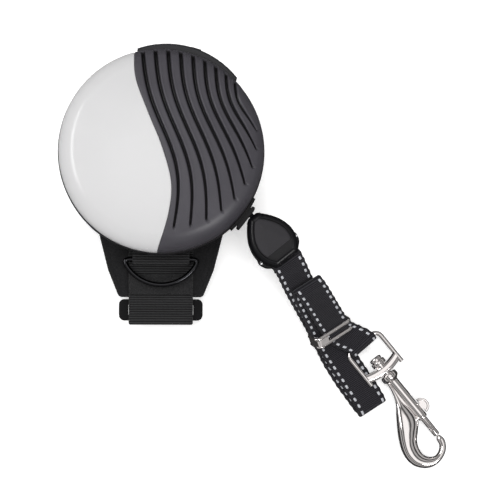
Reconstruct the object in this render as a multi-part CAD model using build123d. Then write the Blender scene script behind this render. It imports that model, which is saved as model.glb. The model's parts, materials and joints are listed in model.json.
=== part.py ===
from build123d import *
import os
from math import atan2, cos, degrees, hypot, pi, radians, sin, sqrt, tan

# A wrist-worn retractable pet lead.  A round spring-wound cord case sits on a
# padded wrist strap; the cord ends in a pod, a short folded strap and a swivel
# snap.  Millimetres.  +Z is the axis of the round case, z = 0 is the surface the
# wrist strap lies on, and the origin is directly under the case axis.

# ---- driving dimensions -------------------------------------------------------
CASE_R = 46.0            # radius of the front covers
REAR_RIM_R = 46.5        # the rear case stands a little proud of the covers
CASE_MID = 31.5          # height of the joint between the case halves
REAR_DEPTH = 12.5        # rear case, from its back face to the joint
COVER_FOOT = 2.2         # covers start this far above the joint
SHOULDER_R = 10.0        # rounding between the dome and the side wall
SHOULDER_UP = 5.0        # centre of that rounding above the joint
DOME_HEIGHT = 19.5       # top of the dome above the joint
COVER_T = 1.8            # white cover and ribbed grip
SHELL_T = 1.6            # front case under the covers
WALL = 2.0               # rear case wall
SEAM = 0.15              # gap between parts that only meet

BAND_H = 16.0            # overall height of the flattened wrist strap
BAND_BACK = 22.0         # rear fold of the wrist strap, +Y side
BAND_FRONT = -77.0       # front fold of the wrist strap, -Y side
WEB_W = 29.6             # wrist webbing
WEB_T = 1.4
PAD_T = 3.0

CORD_D = 2.4
CORD_TURN = (37.3, -24.5)   # corner of the cord's path inside the outlet
CORD_DIR = -51.2            # direction of the cord outside the case, degrees
CORD_INNER_Y = 3.2          # the inner run leaves the coil at this Y
OUTLET_DIR = -38.2          # direction of the outlet from the case axis
GUIDE_R = 49.3              # outer face of the outlet guide

DRUM_R = 37.5
CORE_R = 26.0
COIL_R = 34.0
GROOVE_W = 9.6
AXLE_R = 4.0
FLANGE_T = 1.4
RATCHET_TEETH = 24
RATCHET_DEPTH = 2.2

BRAKE_DIR = 74.0
BRAKE_HALF = 29.5        # half angle of the brake button
BRAKE_TRAVEL = 2.6
BUTTON_R = 49.0
BUTTON_H = 12.0

POD_LENGTH = 25.6
POD_GAP = 1.0            # pod nose to the outlet guide, along the cord
PIN_AT = 19.0            # strap pin, from the nose

STRAP_W = 15.0
STRAP_T = 1.6
STRAP_PITCH = 1.8        # from one folded layer to the next
STRAP_START = (57.0, -48.9)
STRAP_DIR = -57.7
SLOPE_TOP = (2.0, 32.7)     # (along the strap, height): strap starts down
SLOPE_END = (46.0, 0.8)     # and meets the surface
TOP_FOLD = 13.6
FRONT_FOLD = 76.9
BUCKLE_AT = 36.5            # slide buckle, along the strap
BUCKLE_SKEW = -9.0

SNAP_AT = (94.3, -85.8)
SNAP_DIR = -50.7
SNAP_Z = 5.0
WIRE_R = 1.05
EYE_HALF = 9.15
HOOK_T = 5.4
BARREL_R = 2.3
BOLT_R = 1.5
BOLT_TRAVEL = 6.0
BOLT_ENDS = (30.2, 54.2)
STUD_STEM = (37.6, 40.6)
SPRING_BACK = 22.2

PARTS = "parts"
os.makedirs(PARTS, exist_ok=True)


# ---- small helpers --------------------------------------------------------------
def save(node, shape):
    """Write one node's solids to its STEP file."""
    export_step(shape, f"{PARTS}/{node}.step")


def polar(radius, angle, z=0.0):
    """A point at a radius and an angle in degrees from +X."""
    return (radius * cos(radians(angle)), radius * sin(radians(angle)), z)


def disc(radius, low, high, hole=0.0):
    """An upright disc or tube between two heights on the Z axis."""
    body = Pos(0, 0, (low + high) / 2) * Cylinder(radius, high - low)
    if hole > 0:
        body = body - Pos(0, 0, (low + high) / 2) * Cylinder(hole, high - low + 1)
    return body


def block(x, y, z):
    """A box from three (low, high) pairs."""
    centre = Pos((x[0] + x[1]) / 2, (y[0] + y[1]) / 2, (z[0] + z[1]) / 2)
    return centre * Box(x[1] - x[0], y[1] - y[0], z[1] - z[0])


def rod(start, end, radius):
    """A round bar between two points."""
    a = Vector(*start)
    b = Vector(*end)
    along = b - a
    frame = Plane(origin=a, z_dir=along)
    return extrude(frame * Circle(radius), amount=along.length)


def sector(r_in, r_out, start, end, low, high):
    """A ring sector between two angles and two heights."""
    middle = (start + end) / 2
    outer = ThreePointArc(polar(r_out, start), polar(r_out, middle), polar(r_out, end))
    inner = ThreePointArc(polar(r_in, end), polar(r_in, middle), polar(r_in, start))
    edges = outer + Line(outer @ 1, inner @ 0) + inner + Line(inner @ 1, outer @ 0)
    return extrude(Pos(0, 0, low) * make_face(edges), amount=high - low)


def fuse(pieces):
    """One solid from several overlapping ones."""
    body = pieces[0]
    for piece in pieces[1:]:
        body = body + piece
    return body


def group(pieces):
    """Several separate solids kept in one node."""
    return Compound(children=[piece.solids()[0] for piece in pieces])


def ribbon(points, thickness, width):
    """A flat strap laid along (x, z) points, centred on the local XZ plane."""
    pieces = []
    for (x0, z0), (x1, z1) in zip(points, points[1:]):
        slab = Box(hypot(x1 - x0, z1 - z0), width, thickness)
        lean = Rot(0, -degrees(atan2(z1 - z0, x1 - x0)), 0)
        pieces.append(Pos((x0 + x1) / 2, 0, (z0 + z1) / 2) * lean * slab)
    for x, z in points[1:-1]:
        pieces.append(Pos(x, 0, z) * Rot(90, 0, 0) * Cylinder(thickness / 2, width))
    return fuse(pieces)


# ---- case -----------------------------------------------------------------------
def dome(inset, foot):
    """Solid under the domed front, shrunk by an inset, from a height upward."""
    shoulder = SHOULDER_R - inset
    centre_r = CASE_R - SHOULDER_R
    centre_z = CASE_MID + SHOULDER_UP
    rise = DOME_HEIGHT - SHOULDER_UP
    # The dome arc is tangent inside to the shoulder arc and level on the axis.
    dome_r = (centre_r ** 2 + rise ** 2 - SHOULDER_R ** 2) / (2 * (rise - SHOULDER_R))
    dome_z = CASE_MID + DOME_HEIGHT - dome_r
    lean = atan2(centre_r, centre_z - dome_z)
    radius = dome_r - inset
    meet = (radius * sin(lean), dome_z + radius * cos(lean))
    crown = (radius * sin(lean / 2), dome_z + radius * cos(lean / 2))
    half = (pi / 2 - lean) / 2 + lean
    bend = (centre_r + shoulder * sin(half), centre_z + shoulder * cos(half))
    side = (CASE_R - inset, centre_z)
    outline = (
        ThreePointArc((0, dome_z + radius), crown, meet)
        + ThreePointArc(meet, bend, side)
        + Polyline(side, (side[0], foot), (0, foot), (0, dome_z + radius))
    )
    return revolve(Plane.XZ * make_face(outline), Axis.Z)


def rear_solid(inset, top):
    """Solid of the rear case, shrunk by an inset, up to a height."""
    back = CASE_MID - REAR_DEPTH + inset
    corner = 9.0
    outer = REAR_RIM_R - inset
    bend_r = corner - inset
    centre = (REAR_RIM_R - corner, CASE_MID - REAR_DEPTH + corner)
    mid = (centre[0] + bend_r * cos(pi / 4), centre[1] - bend_r * sin(pi / 4))
    outline = (
        Polyline((0, top), (0, back), (centre[0], back))
        + ThreePointArc((centre[0], back), mid, (outer, centre[1]))
        + Polyline((outer, centre[1]), (outer, top), (0, top))
    )
    return revolve(Plane.XZ * make_face(outline), Axis.Z)


# The S-shaped seam between the white cover and the ribbed grip, in plan: it runs
# from the top of the rim to the bottom, bulging to the right below the middle.
SEAM_START = 105.3
SEAM_END = -92.4
SEAM_SWAY = ((0.15, -0.8), (0.33, 3.0), (0.51, 7.6), (0.685, 9.8), (0.82, 7.2))
# The grip's grooves fan out from the top of the rim. In plan each one follows the chord
# from the circle of upper ends to its own lower end, bowed and swayed by shares of it.
GROOVES = 9
GROOVE_TOP_R = 45.0
GROOVE_TOP_ANGLE = (101.0, -7.3)     # first groove, and the step to the next
GROOVE_FOOT_R = (36.0, 0.9)
GROOVE_FOOT_ANGLE = (-81.0, 11.5)
GROOVE_BOW = (0.043, -0.0175)
GROOVE_SWAY = (-0.036, 0.002)
GROOVE_HALF = (0.9, 0.4)      # half widths at the upper and lower ends
GROOVE_DEPTH = 0.8


def seam_points():
    """The seam's plan curve, swayed sideways off the chord between its ends."""
    a = Vector(*polar(CASE_R + 1, SEAM_START))
    b = Vector(*polar(CASE_R + 1, SEAM_END))
    chord = b - a
    side = Vector(-chord.Y, chord.X, 0).normalized()
    return [a] + [a + chord * part + side * amount for part, amount in SEAM_SWAY] + [b]


def seam_cutter(shift):
    """Everything left of the seam, with the seam moved right by a shift."""
    points = [point + Vector(shift, 0, 0) for point in seam_points()]
    far = CASE_R + 10
    curve = Spline(points)
    frame = Polyline(curve @ 1, (points[-1].X, -far), (-far, -far), (-far, far),
                     (points[0].X, far), curve @ 0)
    return extrude(make_face(curve + frame), amount=CASE_MID + 2 * DOME_HEIGHT)


def stepped(first_and_step, index):
    return first_and_step[0] + first_and_step[1] * index


def groove_point(index, part):
    """A point of a groove's middle line in plan, at a part of its length."""
    top = Vector(*polar(GROOVE_TOP_R, stepped(GROOVE_TOP_ANGLE, index)))
    foot = Vector(*polar(stepped(GROOVE_FOOT_R, index), stepped(GROOVE_FOOT_ANGLE, index)))
    chord = foot - top
    aside = (stepped(GROOVE_BOW, index) * sin(pi * part)
             + stepped(GROOVE_SWAY, index) * sin(2 * pi * part))
    return top + chord * part + Vector(-chord.Y, chord.X, 0) * aside


def groove_cutter(index):
    """A narrow groove in plan, wide at the top end and thin at the lower end."""
    left = []
    right = []
    spans = 6
    for step in range(spans + 1):
        part = step / spans
        half = GROOVE_HALF[0] + (GROOVE_HALF[1] - GROOVE_HALF[0]) * part
        middle = groove_point(index, part)
        left.append(middle - Vector(half, 0, 0))
        right.append(middle + Vector(half, 0, 0))
    a = Spline(left)
    b = Spline(right)
    face = make_face(a + Line(a @ 1, b @ 1) + b + Line(b @ 0, a @ 0))
    return extrude(face, amount=CASE_MID + 2 * DOME_HEIGHT)


def outlet_window(width, height, inner, outer):
    """A box through the rim at the cord outlet."""
    box = block((inner, outer), (-width / 2, width / 2),
                (CASE_MID - height / 2, CASE_MID + height / 2))
    return Rot(0, 0, OUTLET_DIR) * box


def inner_channel():
    """Room for the cord where it comes across the inside of the rim."""
    start = (COIL_R, CORD_INNER_Y, CASE_MID)
    corner = (CORD_TURN[0], CORD_TURN[1], CASE_MID)
    radius = CORD_D / 2 + 0.9
    return rod(start, corner, radius) + Pos(*corner) * Sphere(radius)


def brake_window(margin):
    """The opening in the rim that the brake button moves in."""
    spread = BRAKE_HALF + margin
    low = CASE_MID - BUTTON_H / 2 - 0.5
    high = CASE_MID + BUTTON_H / 2 + 0.5
    return sector(41.0, 47.5, BRAKE_DIR - spread, BRAKE_DIR + spread, low, high)


BOSS_R = 40.6
BOSS_ANGLES = (16.0, 138.0, 208.0, 282.0)
BACK = CASE_MID - REAR_DEPTH
FLOOR = BACK + WALL
SCREW_R = 1.2
BAND_SCREW_X = 14.0
PEDESTAL = 20.0
SPRING_ANGLES = (BRAKE_DIR - 19.0, BRAKE_DIR + 19.0)


def at_bosses(piece):
    return [Pos(*polar(BOSS_R, angle)) * piece for angle in BOSS_ANGLES]


def rear_case():
    body = rear_solid(0, CASE_MID) - rear_solid(WALL, CASE_MID + 1)
    pedestal = block((-PEDESTAL, PEDESTAL), (-PEDESTAL, PEDESTAL), (BAND_H + 0.2, FLOOR))
    seat = disc(9.0, FLOOR - 1, FLOOR + 1.2)
    body = body + pedestal + seat
    bosses = fuse([body] + at_bosses(disc(2.2, FLOOR - 1, CASE_MID)))
    # The bosses stay inside the rounded corner of the case.
    body = bosses & rear_solid(0, CASE_MID)
    body = body + pedestal
    for angle in SPRING_ANGLES:
        seat_wall = block((38.2, 39.6), (-3, 3), (FLOOR - 1, CASE_MID + 3))
        body = body + Rot(0, 0, angle) * seat_wall
    for hole in at_bosses(disc(SCREW_R, BACK - 1, CASE_MID + 1)):
        body = body - hole
    for head in at_bosses(disc(2.05, BACK - 1, BACK + 4.0)):
        body = body - head
    body = body - disc(1.6, 0, CASE_MID) - disc(3.2, 0, BAND_H + 2.6)
    for side in (-1, 1):
        body = body - Pos(side * BAND_SCREW_X, 0, 0) * disc(1.1, 0, FLOOR - 0.6)
    return body - brake_window(3.5) - outlet_window(9.9, 8.0, 41, 48) - inner_channel()


def front_case():
    foot = CASE_MID
    shell = dome(COVER_T + 0.1, foot) - dome(COVER_T + 0.1 + SHELL_T, foot - 1)
    rim = disc(REAR_RIM_R, CASE_MID, CASE_MID + COVER_FOOT - SEAM, CASE_R - COVER_T - SHELL_T)
    body = shell + rim
    hub = disc(6.6, CASE_MID + 11.3, CASE_MID + DOME_HEIGHT - COVER_T - 0.6)
    body = body + hub
    body = fuse([body] + at_bosses(disc(2.2, CASE_MID, CASE_MID + 8.0)))
    for hole in at_bosses(disc(SCREW_R - 0.1, CASE_MID - 1, CASE_MID + 6.5)):
        body = body - hole
    body = body - disc(AXLE_R + 0.05, CASE_MID, CASE_MID + 13.5)
    return body - brake_window(3.5) - outlet_window(9.9, 8.0, 41, 48) - inner_channel()


def covers():
    """The dome's outer skin, with the brake and outlet openings."""
    foot = CASE_MID + COVER_FOOT
    skin = dome(0, foot) - dome(COVER_T, foot - 1)
    return skin - brake_window(3.5) - outlet_window(9.9, 8.0, 41, 48)


def white_cover():
    return covers() & seam_cutter(-SEAM / 2)


def ribbed_grip():
    body = covers() - seam_cutter(SEAM / 2)
    layer = dome(-1, CASE_MID + COVER_FOOT) - dome(GROOVE_DEPTH, CASE_MID)
    for index in range(GROOVES):
        body = body - (layer & groove_cutter(index))
    return body


def case_screws():
    shank = disc(SCREW_R - 0.1, BACK + 2.2, CASE_MID + 6.0)
    return group(at_bosses(shank + disc(1.95, BACK + 2.3, BACK + 3.9)))


# ---- cord outlet ------------------------------------------------------------------
def cord_frame():
    """The straight run's frame: X along the cord, origin at the inner corner."""
    return Pos(CORD_TURN[0], CORD_TURN[1], CASE_MID) * Rot(0, 0, CORD_DIR)


def mouth_distance():
    """Distance along the cord from its inner corner to the guide's outer face."""
    dx = cos(radians(CORD_DIR))
    dy = sin(radians(CORD_DIR))
    b = CORD_TURN[0] * dx + CORD_TURN[1] * dy
    c = CORD_TURN[0] ** 2 + CORD_TURN[1] ** 2 - GUIDE_R ** 2
    return -b + sqrt(b * b - c)


def outlet_guide():
    plug = outlet_window(9.6, 7.6, 42.6, REAR_RIM_R + 1.2)
    face = outlet_window(11.8, 9.4, REAR_RIM_R + 1.0, GUIDE_R)
    face = fillet(face.edges().filter_by(Axis.Z), 0.8)
    funnel_length = 9.6
    mouth = mouth_distance()
    funnel = Pos(mouth - funnel_length / 2, 0, 0) * Rot(0, -90, 0) * Cone(
        1.55, 4.2, funnel_length)
    exit_bore = Pos(mouth, 0, 0) * Rot(0, 90, 0) * Cylinder(1.55, 6)
    return plug + face - cord_frame() * funnel - cord_frame() * exit_bore


def outlet_bezel():
    """A thin trim that follows the rim on both sides of the guide."""
    arc = sector(REAR_RIM_R + 0.05, REAR_RIM_R + 1.0, -48.0, -27.0, CASE_MID - 4.2, CASE_MID + 4.2)
    return arc - outlet_window(9.8, 7.9, 44, 49)


def cord_run():
    """The cord from the coil, through the guide, to the pod's ferrule."""
    end = mouth_distance() + POD_GAP + 7.0
    far = cord_frame() * Pos(end, 0, 0)
    start = (COIL_R + CORD_D / 2 + 0.3, CORD_INNER_Y, CASE_MID)
    corner = (CORD_TURN[0], CORD_TURN[1], CASE_MID)
    path = FilletPolyline(start, corner, far.position, radius=12.0)
    profile = Plane(origin=path @ 0, z_dir=path % 0) * Circle(CORD_D / 2)
    body = sweep(profile, path=path)
    print("cord run", round(body.volume, 2), round(path.length * pi * CORD_D ** 2 / 4, 2))
    return body


# ---- drum and spring ----------------------------------------------------------------
GROOVE_LOW = CASE_MID - GROOVE_W / 2
GROOVE_HIGH = CASE_MID + GROOVE_W / 2


def drum():
    flange = disc(DRUM_R, GROOVE_LOW - FLANGE_T, GROOVE_LOW, AXLE_R + 0.08)
    core = disc(CORE_R, GROOVE_LOW - 1, GROOVE_HIGH, CORE_R - 2.4)
    hub = disc(AXLE_R + 2.2, GROOVE_LOW - 2.6, GROOVE_LOW, AXLE_R + 0.08)
    body = flange + core + hub
    for angle in (30, 150, 270):
        boss = Pos(*polar(CORE_R - 3.2, angle)) * disc(1.6, GROOVE_LOW - 0.5, GROOVE_HIGH)
        pilot = Pos(*polar(CORE_R - 3.2, angle)) * disc(0.7, GROOVE_LOW + 2, GROOVE_HIGH + 1)
        body = body + boss - pilot
    return body


def ratchet_flange():
    """The front flange of the drum, with ratchet notches round its edge."""
    pitch = 360 / RATCHET_TEETH
    root = DRUM_R - RATCHET_DEPTH
    points = []
    for tooth in range(RATCHET_TEETH):
        base = BRAKE_DIR + tooth * pitch
        points.append(polar(root, base - pitch * 0.28))
        points.append(polar(root, base + pitch * 0.28))
        points.append(polar(DRUM_R, base + pitch * 0.34))
        points.append(polar(DRUM_R, base + pitch * 0.64))
    outline = make_face(Polyline(points, close=True))
    plate = extrude(Pos(0, 0, GROOVE_HIGH) * outline, amount=FLANGE_T)
    plate = plate - disc(AXLE_R + 0.08, GROOVE_HIGH - 1, GROOVE_HIGH + 3)
    for angle in (30, 150, 270):
        plate = plate - Pos(*polar(CORE_R - 3.2, angle)) * disc(0.9, 0, GROOVE_HIGH + 5)
    return plate


def drum_screws():
    screws = []
    for angle in (30, 150, 270):
        place = Pos(*polar(CORE_R - 3.2, angle))
        head = disc(1.5, GROOVE_HIGH + FLANGE_T, GROOVE_HIGH + FLANGE_T + 0.9)
        screws.append(place * (head + disc(0.7, GROOVE_LOW + 4, GROOVE_HIGH + FLANGE_T)))
    return group(screws)


def cord_coil():
    return disc(COIL_R, GROOVE_LOW + 0.1, GROOVE_HIGH - 0.1, CORE_R + 0.02)


def clock_spring():
    """A flat spiral of spring strip between the axle and the drum's core."""
    inner = AXLE_R + 1.0
    outer = CORE_R - 6.2
    turns = 6
    steps = 12 * turns
    strip = 0.5
    near = []
    away = []
    for step in range(steps + 1):
        radius = inner + (outer - inner) * step / steps
        angle = 360 * turns * step / steps
        near.append(polar(radius, angle))
        away.append(polar(radius + strip, angle))
    a = Spline(near)
    b = Spline(away)
    face = make_face(a + Line(a @ 1, b @ 1) + b + Line(b @ 0, a @ 0))
    return extrude(Pos(0, 0, GROOVE_LOW + 1) * face, amount=GROOVE_W - 2)


def axle():
    collar = disc(7.0, FLOOR + 1.25, GROOVE_LOW - 2.8)
    shaft = disc(AXLE_R, FLOOR + 1.25, CASE_MID + 13.4)
    return collar + shaft - disc(1.4, 0, CASE_MID)


def axle_screw():
    return disc(3.0, BAND_H + 0.6, BAND_H + 2.5) + disc(1.4, BAND_H + 2.5, CASE_MID - 1)


# ---- brake -------------------------------------------------------------------------
LOCK_Z = 3.4
LOCK_W = 5.2
LOCK_TRAVEL = 3.4


def brake_frame():
    """X points out of the case at the middle of the button."""
    return Pos(0, 0, CASE_MID) * Rot(0, 0, BRAKE_DIR)


def brake_button():
    low = CASE_MID - BUTTON_H / 2
    high = CASE_MID + BUTTON_H / 2
    body = sector(44.6, BUTTON_R + 2, BRAKE_DIR - BRAKE_HALF, BRAKE_DIR + BRAKE_HALF, low, high)
    round_r = 40.0
    shape = Rot(0, 0, BRAKE_DIR) * Pos(BUTTON_R - round_r, 0, 0) * disc(round_r, low, high)
    body = body & shape
    outer = body.edges().filter_by(GeomType.CIRCLE).filter_by(
        lambda edge: abs(edge.radius - round_r) < 0.01)
    body = fillet(outer, 1.0)
    slot = block((46.9, 52), (-LOCK_W / 2 - LOCK_TRAVEL / 2 - 0.3, LOCK_W / 2 + LOCK_TRAVEL / 2 + 0.3),
                 (-LOCK_Z / 2 - 0.3, LOCK_Z / 2 + 0.3))
    return body - brake_frame() * slot


def brake_pawl():
    low = GROOVE_HIGH - CASE_MID + 0.1
    high = GROOVE_HIGH - CASE_MID + FLANGE_T - 0.1
    arm = block((38.3, 44.5), (-1.3, 1.3), (low, high))
    foot = block((42.2, 44.5), (-4, 4), (-1, high))
    return brake_frame() * fuse([arm, foot]) & disc(44.5, 0, 60)


def brake_springs():
    return group([Rot(0, 0, angle) * Pos(42.0, 0, CASE_MID) * Rot(0, 90, 0)
                  * (Cylinder(1.9, 4.6) - Cylinder(1.2, 6)) for angle in SPRING_ANGLES])


def lock_slider():
    rest = -LOCK_TRAVEL / 2
    stem = block((47.2, 50.0), (rest - LOCK_W / 2, rest + LOCK_W / 2), (-LOCK_Z / 2, LOCK_Z / 2))
    stem = fillet(stem.edges().group_by(Axis.X)[-1], 0.6)
    return brake_frame() * stem


# ---- wrist strap ---------------------------------------------------------------------
def band_outline(shrink):
    """The flattened loop of the wrist strap, seen along X, shrunk by an amount."""
    corners = [
        (BAND_BACK, BAND_H), (-50.0, BAND_H), (BAND_FRONT, 10.4),
        (BAND_FRONT, 4.6), (-52.0, 0.0), (BAND_BACK, 0.0),
    ]
    radii = [7.9, 30.0, 2.8, 2.8, 30.0, 7.9]
    face = make_face(FilletPolyline(*corners, radius=radii, close=True))
    if shrink:
        face = offset(face, amount=-shrink)
    return Plane.YZ * face


def band_layer(near, far, width):
    """One layer of the wrist strap between two depths from its outer face."""
    outer = extrude(band_outline(near), amount=width / 2, both=True)
    inner = extrude(band_outline(far), amount=width, both=True)
    return outer - inner


def band_holes():
    holes = [Pos(side * BAND_SCREW_X, 0, 0) * disc(1.3, BAND_H - 3, BAND_H + 2) for side in (-1, 1)]
    return fuse(holes + [disc(3.3, BAND_H - 0.2, BAND_H + 2)])


def wrist_strap():
    return band_layer(0, WEB_T, WEB_W) - band_holes()


PAD_HALF = 28.4
PAD_END = -64.6


def wrist_pad():
    layer = band_layer(WEB_T + 0.1, WEB_T + 0.1 + PAD_T, 2 * PAD_HALF)
    right = [(PAD_HALF, BAND_BACK + 5), (PAD_HALF, -36.0), (24.3, -52.0), (19.2, PAD_END)]
    left = [(-x, y) for x, y in reversed(right)]
    plan = extrude(make_face(Polyline(right + left, close=True)), amount=BAND_H)
    pocket = block((-PLATE_X - 0.2, PLATE_X + 0.2), (-PLATE_Y - 0.2, PLATE_Y + 0.2),
                   (BAND_H - WEB_T - PLATE_T - 0.2, BAND_H))
    for side in (-1, 1):
        pocket = pocket + Pos(side * BAND_SCREW_X, 0, 0) * disc(2.3, BAND_H / 2, BAND_H)
    return (layer & plan) - pocket


PLATE_X = 18.0
PLATE_Y = 10.0
PLATE_T = 1.2


def band_plate():
    top = BAND_H - WEB_T - 0.05
    plate = block((-PLATE_X, PLATE_X), (-PLATE_Y, PLATE_Y), (top - PLATE_T, top))
    plate = fillet(plate.edges().filter_by(Axis.Z), 3.0)
    for side in (-1, 1):
        plate = plate - Pos(side * BAND_SCREW_X, 0, 0) * disc(1.1, 0, BAND_H)
    return plate


def band_screws():
    top = BAND_H - WEB_T - 0.05
    screws = []
    for side in (-1, 1):
        head = disc(2.0, top - PLATE_T - 0.7, top - PLATE_T)
        screws.append(Pos(side * BAND_SCREW_X, 0, 0) * (head + disc(1.0, top - PLATE_T, FLOOR - 0.7)))
    return group(screws)


def closure_patch():
    """The fuzzy closure patch on top of the webbing."""
    layer = band_layer(-0.9, -0.1, WEB_W - 0.6)
    return layer & block((-20, 20), (-63.5, -54.5), (6, BAND_H + 2))


RING_Z = 7.55
RING_HALF = 19.3
RING_T = 3.0
RING_Y = (-75.0, -65.2)


def strap_ring():
    low = RING_Z - RING_T / 2
    high = RING_Z + RING_T / 2
    ring = block((-RING_HALF, RING_HALF), RING_Y, (low, high))
    ring = fillet(ring.edges().filter_by(Axis.Z), 2.5)
    slot = block((-15.0, 15.0), (RING_Y[0] + 2.6, RING_Y[1] - 2.6), (low - 1, high + 1))
    return ring - slot


def ring_keeper():
    """A tab that ties the strap ring to the end of the pad."""
    clear = RING_T / 2 + 0.2 + 0.6
    near = -PAD_END + 0.2
    far = -RING_Y[1] + 2.6 + 0.2 + 0.6
    path = [(near, RING_Z - clear), (far, RING_Z - clear), (far, RING_Z + clear),
            (near, RING_Z + clear)]
    return Rot(0, 0, -90) * ribbon(path, 1.2, 24.0)


# ---- D-ring ---------------------------------------------------------------------------
RING_BAR_Y = -47.5
TAB_T = 1.1
RING_WIRE = 1.1
RING_BAR_Z = BAND_H + 0.15 + TAB_T + 0.15 + RING_WIRE
RING_DEPTH = 12.9
RING_SPAN = 17.3


def d_ring():
    ends = [(-RING_SPAN, RING_BAR_Y, RING_BAR_Z), (RING_SPAN, RING_BAR_Y, RING_BAR_Z)]
    arc = ThreePointArc(ends[0], (0, RING_BAR_Y - RING_DEPTH + RING_WIRE, RING_BAR_Z), ends[1])
    profile = Plane(origin=arc @ 0, z_dir=arc % 0) * Circle(RING_WIRE)
    corners = [Pos(*end) * Sphere(RING_WIRE) for end in ends]
    return fuse([sweep(profile, path=arc), rod(ends[0], ends[1], RING_WIRE)] + corners)


def d_ring_tab():
    loop_r = RING_WIRE + 0.15 + TAB_T
    width = 26.0
    low = BAND_H + 0.15 + TAB_T / 2
    lower = ribbon([(31, low), (-RING_BAR_Y, low)], TAB_T, width)
    high = low + TAB_T + 0.1
    upper = ribbon([(31, high), (42.2, high), (45.6, RING_BAR_Z + 1.2)], TAB_T, width)
    loop = Pos(-RING_BAR_Y, 0, RING_BAR_Z) * Rot(90, 0, 0) * Cylinder(loop_r, width)
    bore = Pos(-RING_BAR_Y, 0, RING_BAR_Z) * Rot(90, 0, 0) * Cylinder(RING_WIRE + 0.15, width + 2)
    return Rot(0, 0, -90) * (fuse([lower, upper, loop]) - bore)


# ---- pod --------------------------------------------------------------------------------
def pod_frame():
    return cord_frame() * Pos(mouth_distance() + POD_GAP, 0, 0)


POD_UP = 6.0
POD_DOWN = 5.6
EAR_IN = 7.9
EAR_OUT = 10.3
STRAP_ROOM = 3.35


def pod_outline():
    """Egg-shaped plan of the pod, narrow at the cord and flat at the strap."""
    upper = [(0, 2.3), (3.2, 5.4), (9.0, 9.1), (15.2, 10.5), (21.0, 9.2), (24.6, 6.8)]
    corner = [(POD_LENGTH, 5.6), (POD_LENGTH, -5.6)]
    lower = [(x, -y) for x, y in reversed(upper)]
    a = Spline([Vector(x, y) for x, y in upper])
    b = Spline([Vector(x, y) for x, y in lower])
    return make_face(a + Polyline(a @ 1, corner[0], corner[1], b @ 0) + b + Line(b @ 1, a @ 0))


def pod_half(low, high):
    return extrude(Pos(0, 0, low) * pod_outline(), amount=high - low)


def pod_cavity():
    loop = block((PIN_AT - 4.0, POD_LENGTH + 5), (-EAR_IN, EAR_IN), (-STRAP_ROOM, STRAP_ROOM))
    knot = block((6.6, PIN_AT - 3.0), (-3.2, 3.2), (-2.6, 2.6))
    bore = Rot(0, 90, 0) * Cylinder(CORD_D / 2 + 0.15, 20)
    pin = Pos(PIN_AT, 0, 0) * Rot(90, 0, 0) * Cylinder(1.12, 30)
    return fuse([loop, knot, bore, pin])


BADGE_NOSE = 2.6         # rounded end of the badge, from the nose of the pod
BADGE_CUT = 18.9         # straight end of the badge
BADGE_SIDE = ((4.6, 3.9), (9.4, 6.7), (14.4, 7.9), (BADGE_CUT, 7.3))


def badge_outline(room):
    """A rounded badge cut straight near the strap, with room around it."""
    side = [Vector(x, y + room) for x, y in BADGE_SIDE]
    side[-1] = side[-1] + Vector(room, 0)
    mirrored = [Vector(point.X, -point.Y) for point in reversed(side)]
    edge = Spline(mirrored + [Vector(BADGE_NOSE - room, 0)] + side)
    return make_face(edge + Line(edge @ 1, edge @ 0))


def badge_block(room, low, high):
    """The badge as a solid with its two square corners rounded."""
    body = Pos(0, 0, low) * extrude(badge_outline(room), amount=high - low)
    return fillet(body.edges().filter_by(Axis.Z), 1.6)


def pod_front():
    body = pod_half(0.05, POD_UP)
    body = chamfer(body.faces().sort_by(Axis.Z)[-1].edges(), 1.5)
    badge = badge_block(0.2, POD_UP - 0.8, POD_UP + 0.2)
    for ear in ear_blocks(0.1):
        body = body - ear
    return pod_frame() * (body - pod_cavity() - badge)


def pod_badge():
    """A blank inset badge on the pod's face."""
    return pod_frame() * badge_block(0, POD_UP - 0.75, POD_UP - 0.05)


def ear_blocks(margin):
    """The two ears of the rear half that hold the strap pin, with a margin."""
    along = (PIN_AT - 3.2 - margin, PIN_AT + 3.0 + margin)
    sides = ((EAR_IN - margin, EAR_OUT + margin), (-EAR_OUT - margin, -EAR_IN + margin))
    return [block(along, side, (-POD_DOWN + 1.5, 2.6 + margin)) for side in sides]


def pod_rear():
    body = pod_half(-POD_DOWN, -0.05)
    body = chamfer(body.faces().sort_by(Axis.Z)[0].edges(), 1.5)
    body = body & block((0, PIN_AT + 4.0), (-12, 12), (-POD_DOWN, 0))
    ears = [fillet(ear.edges().filter_by(Axis.Y), 1.2) for ear in ear_blocks(0)]
    hole = Pos(PIN_AT, 0, 0) * Rot(90, 0, 0) * Cylinder(1.12, 30)
    return pod_frame() * (fuse([body - pod_cavity()] + ears) - hole)


def pod_pin():
    pin = Pos(PIN_AT, 0, 0) * Rot(90, 0, 0) * Cylinder(1.1, 2 * EAR_OUT + 0.6)
    return pod_frame() * pin


def cord_ferrule():
    """The crimped ferrule that keeps the cord in the pod."""
    barrel = Pos(11.0, 0, 0) * Rot(0, 90, 0) * Cylinder(2.3, 7.0)
    return pod_frame() * barrel


# ---- folded strap -------------------------------------------------------------------------
def strap_frame():
    return Pos(STRAP_START[0], STRAP_START[1], 0) * Rot(0, 0, STRAP_DIR)


SLOPE = atan2(SLOPE_TOP[1] - SLOPE_END[1], SLOPE_END[0] - SLOPE_TOP[0])


def on_slope(along, lift):
    """(x, z) on the strap's sloping run: distance along the strap and a lift off it."""
    height = SLOPE_TOP[1] - (along - SLOPE_TOP[0]) * tan(SLOPE)
    return (along + lift * sin(SLOPE), height + lift * cos(SLOPE))


def bend_end(lift):
    """(x, z) where a layer at a lift meets its level run."""
    return (SLOPE_END[0] + lift * tan(SLOPE / 2), SLOPE_END[1] + lift)


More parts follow.
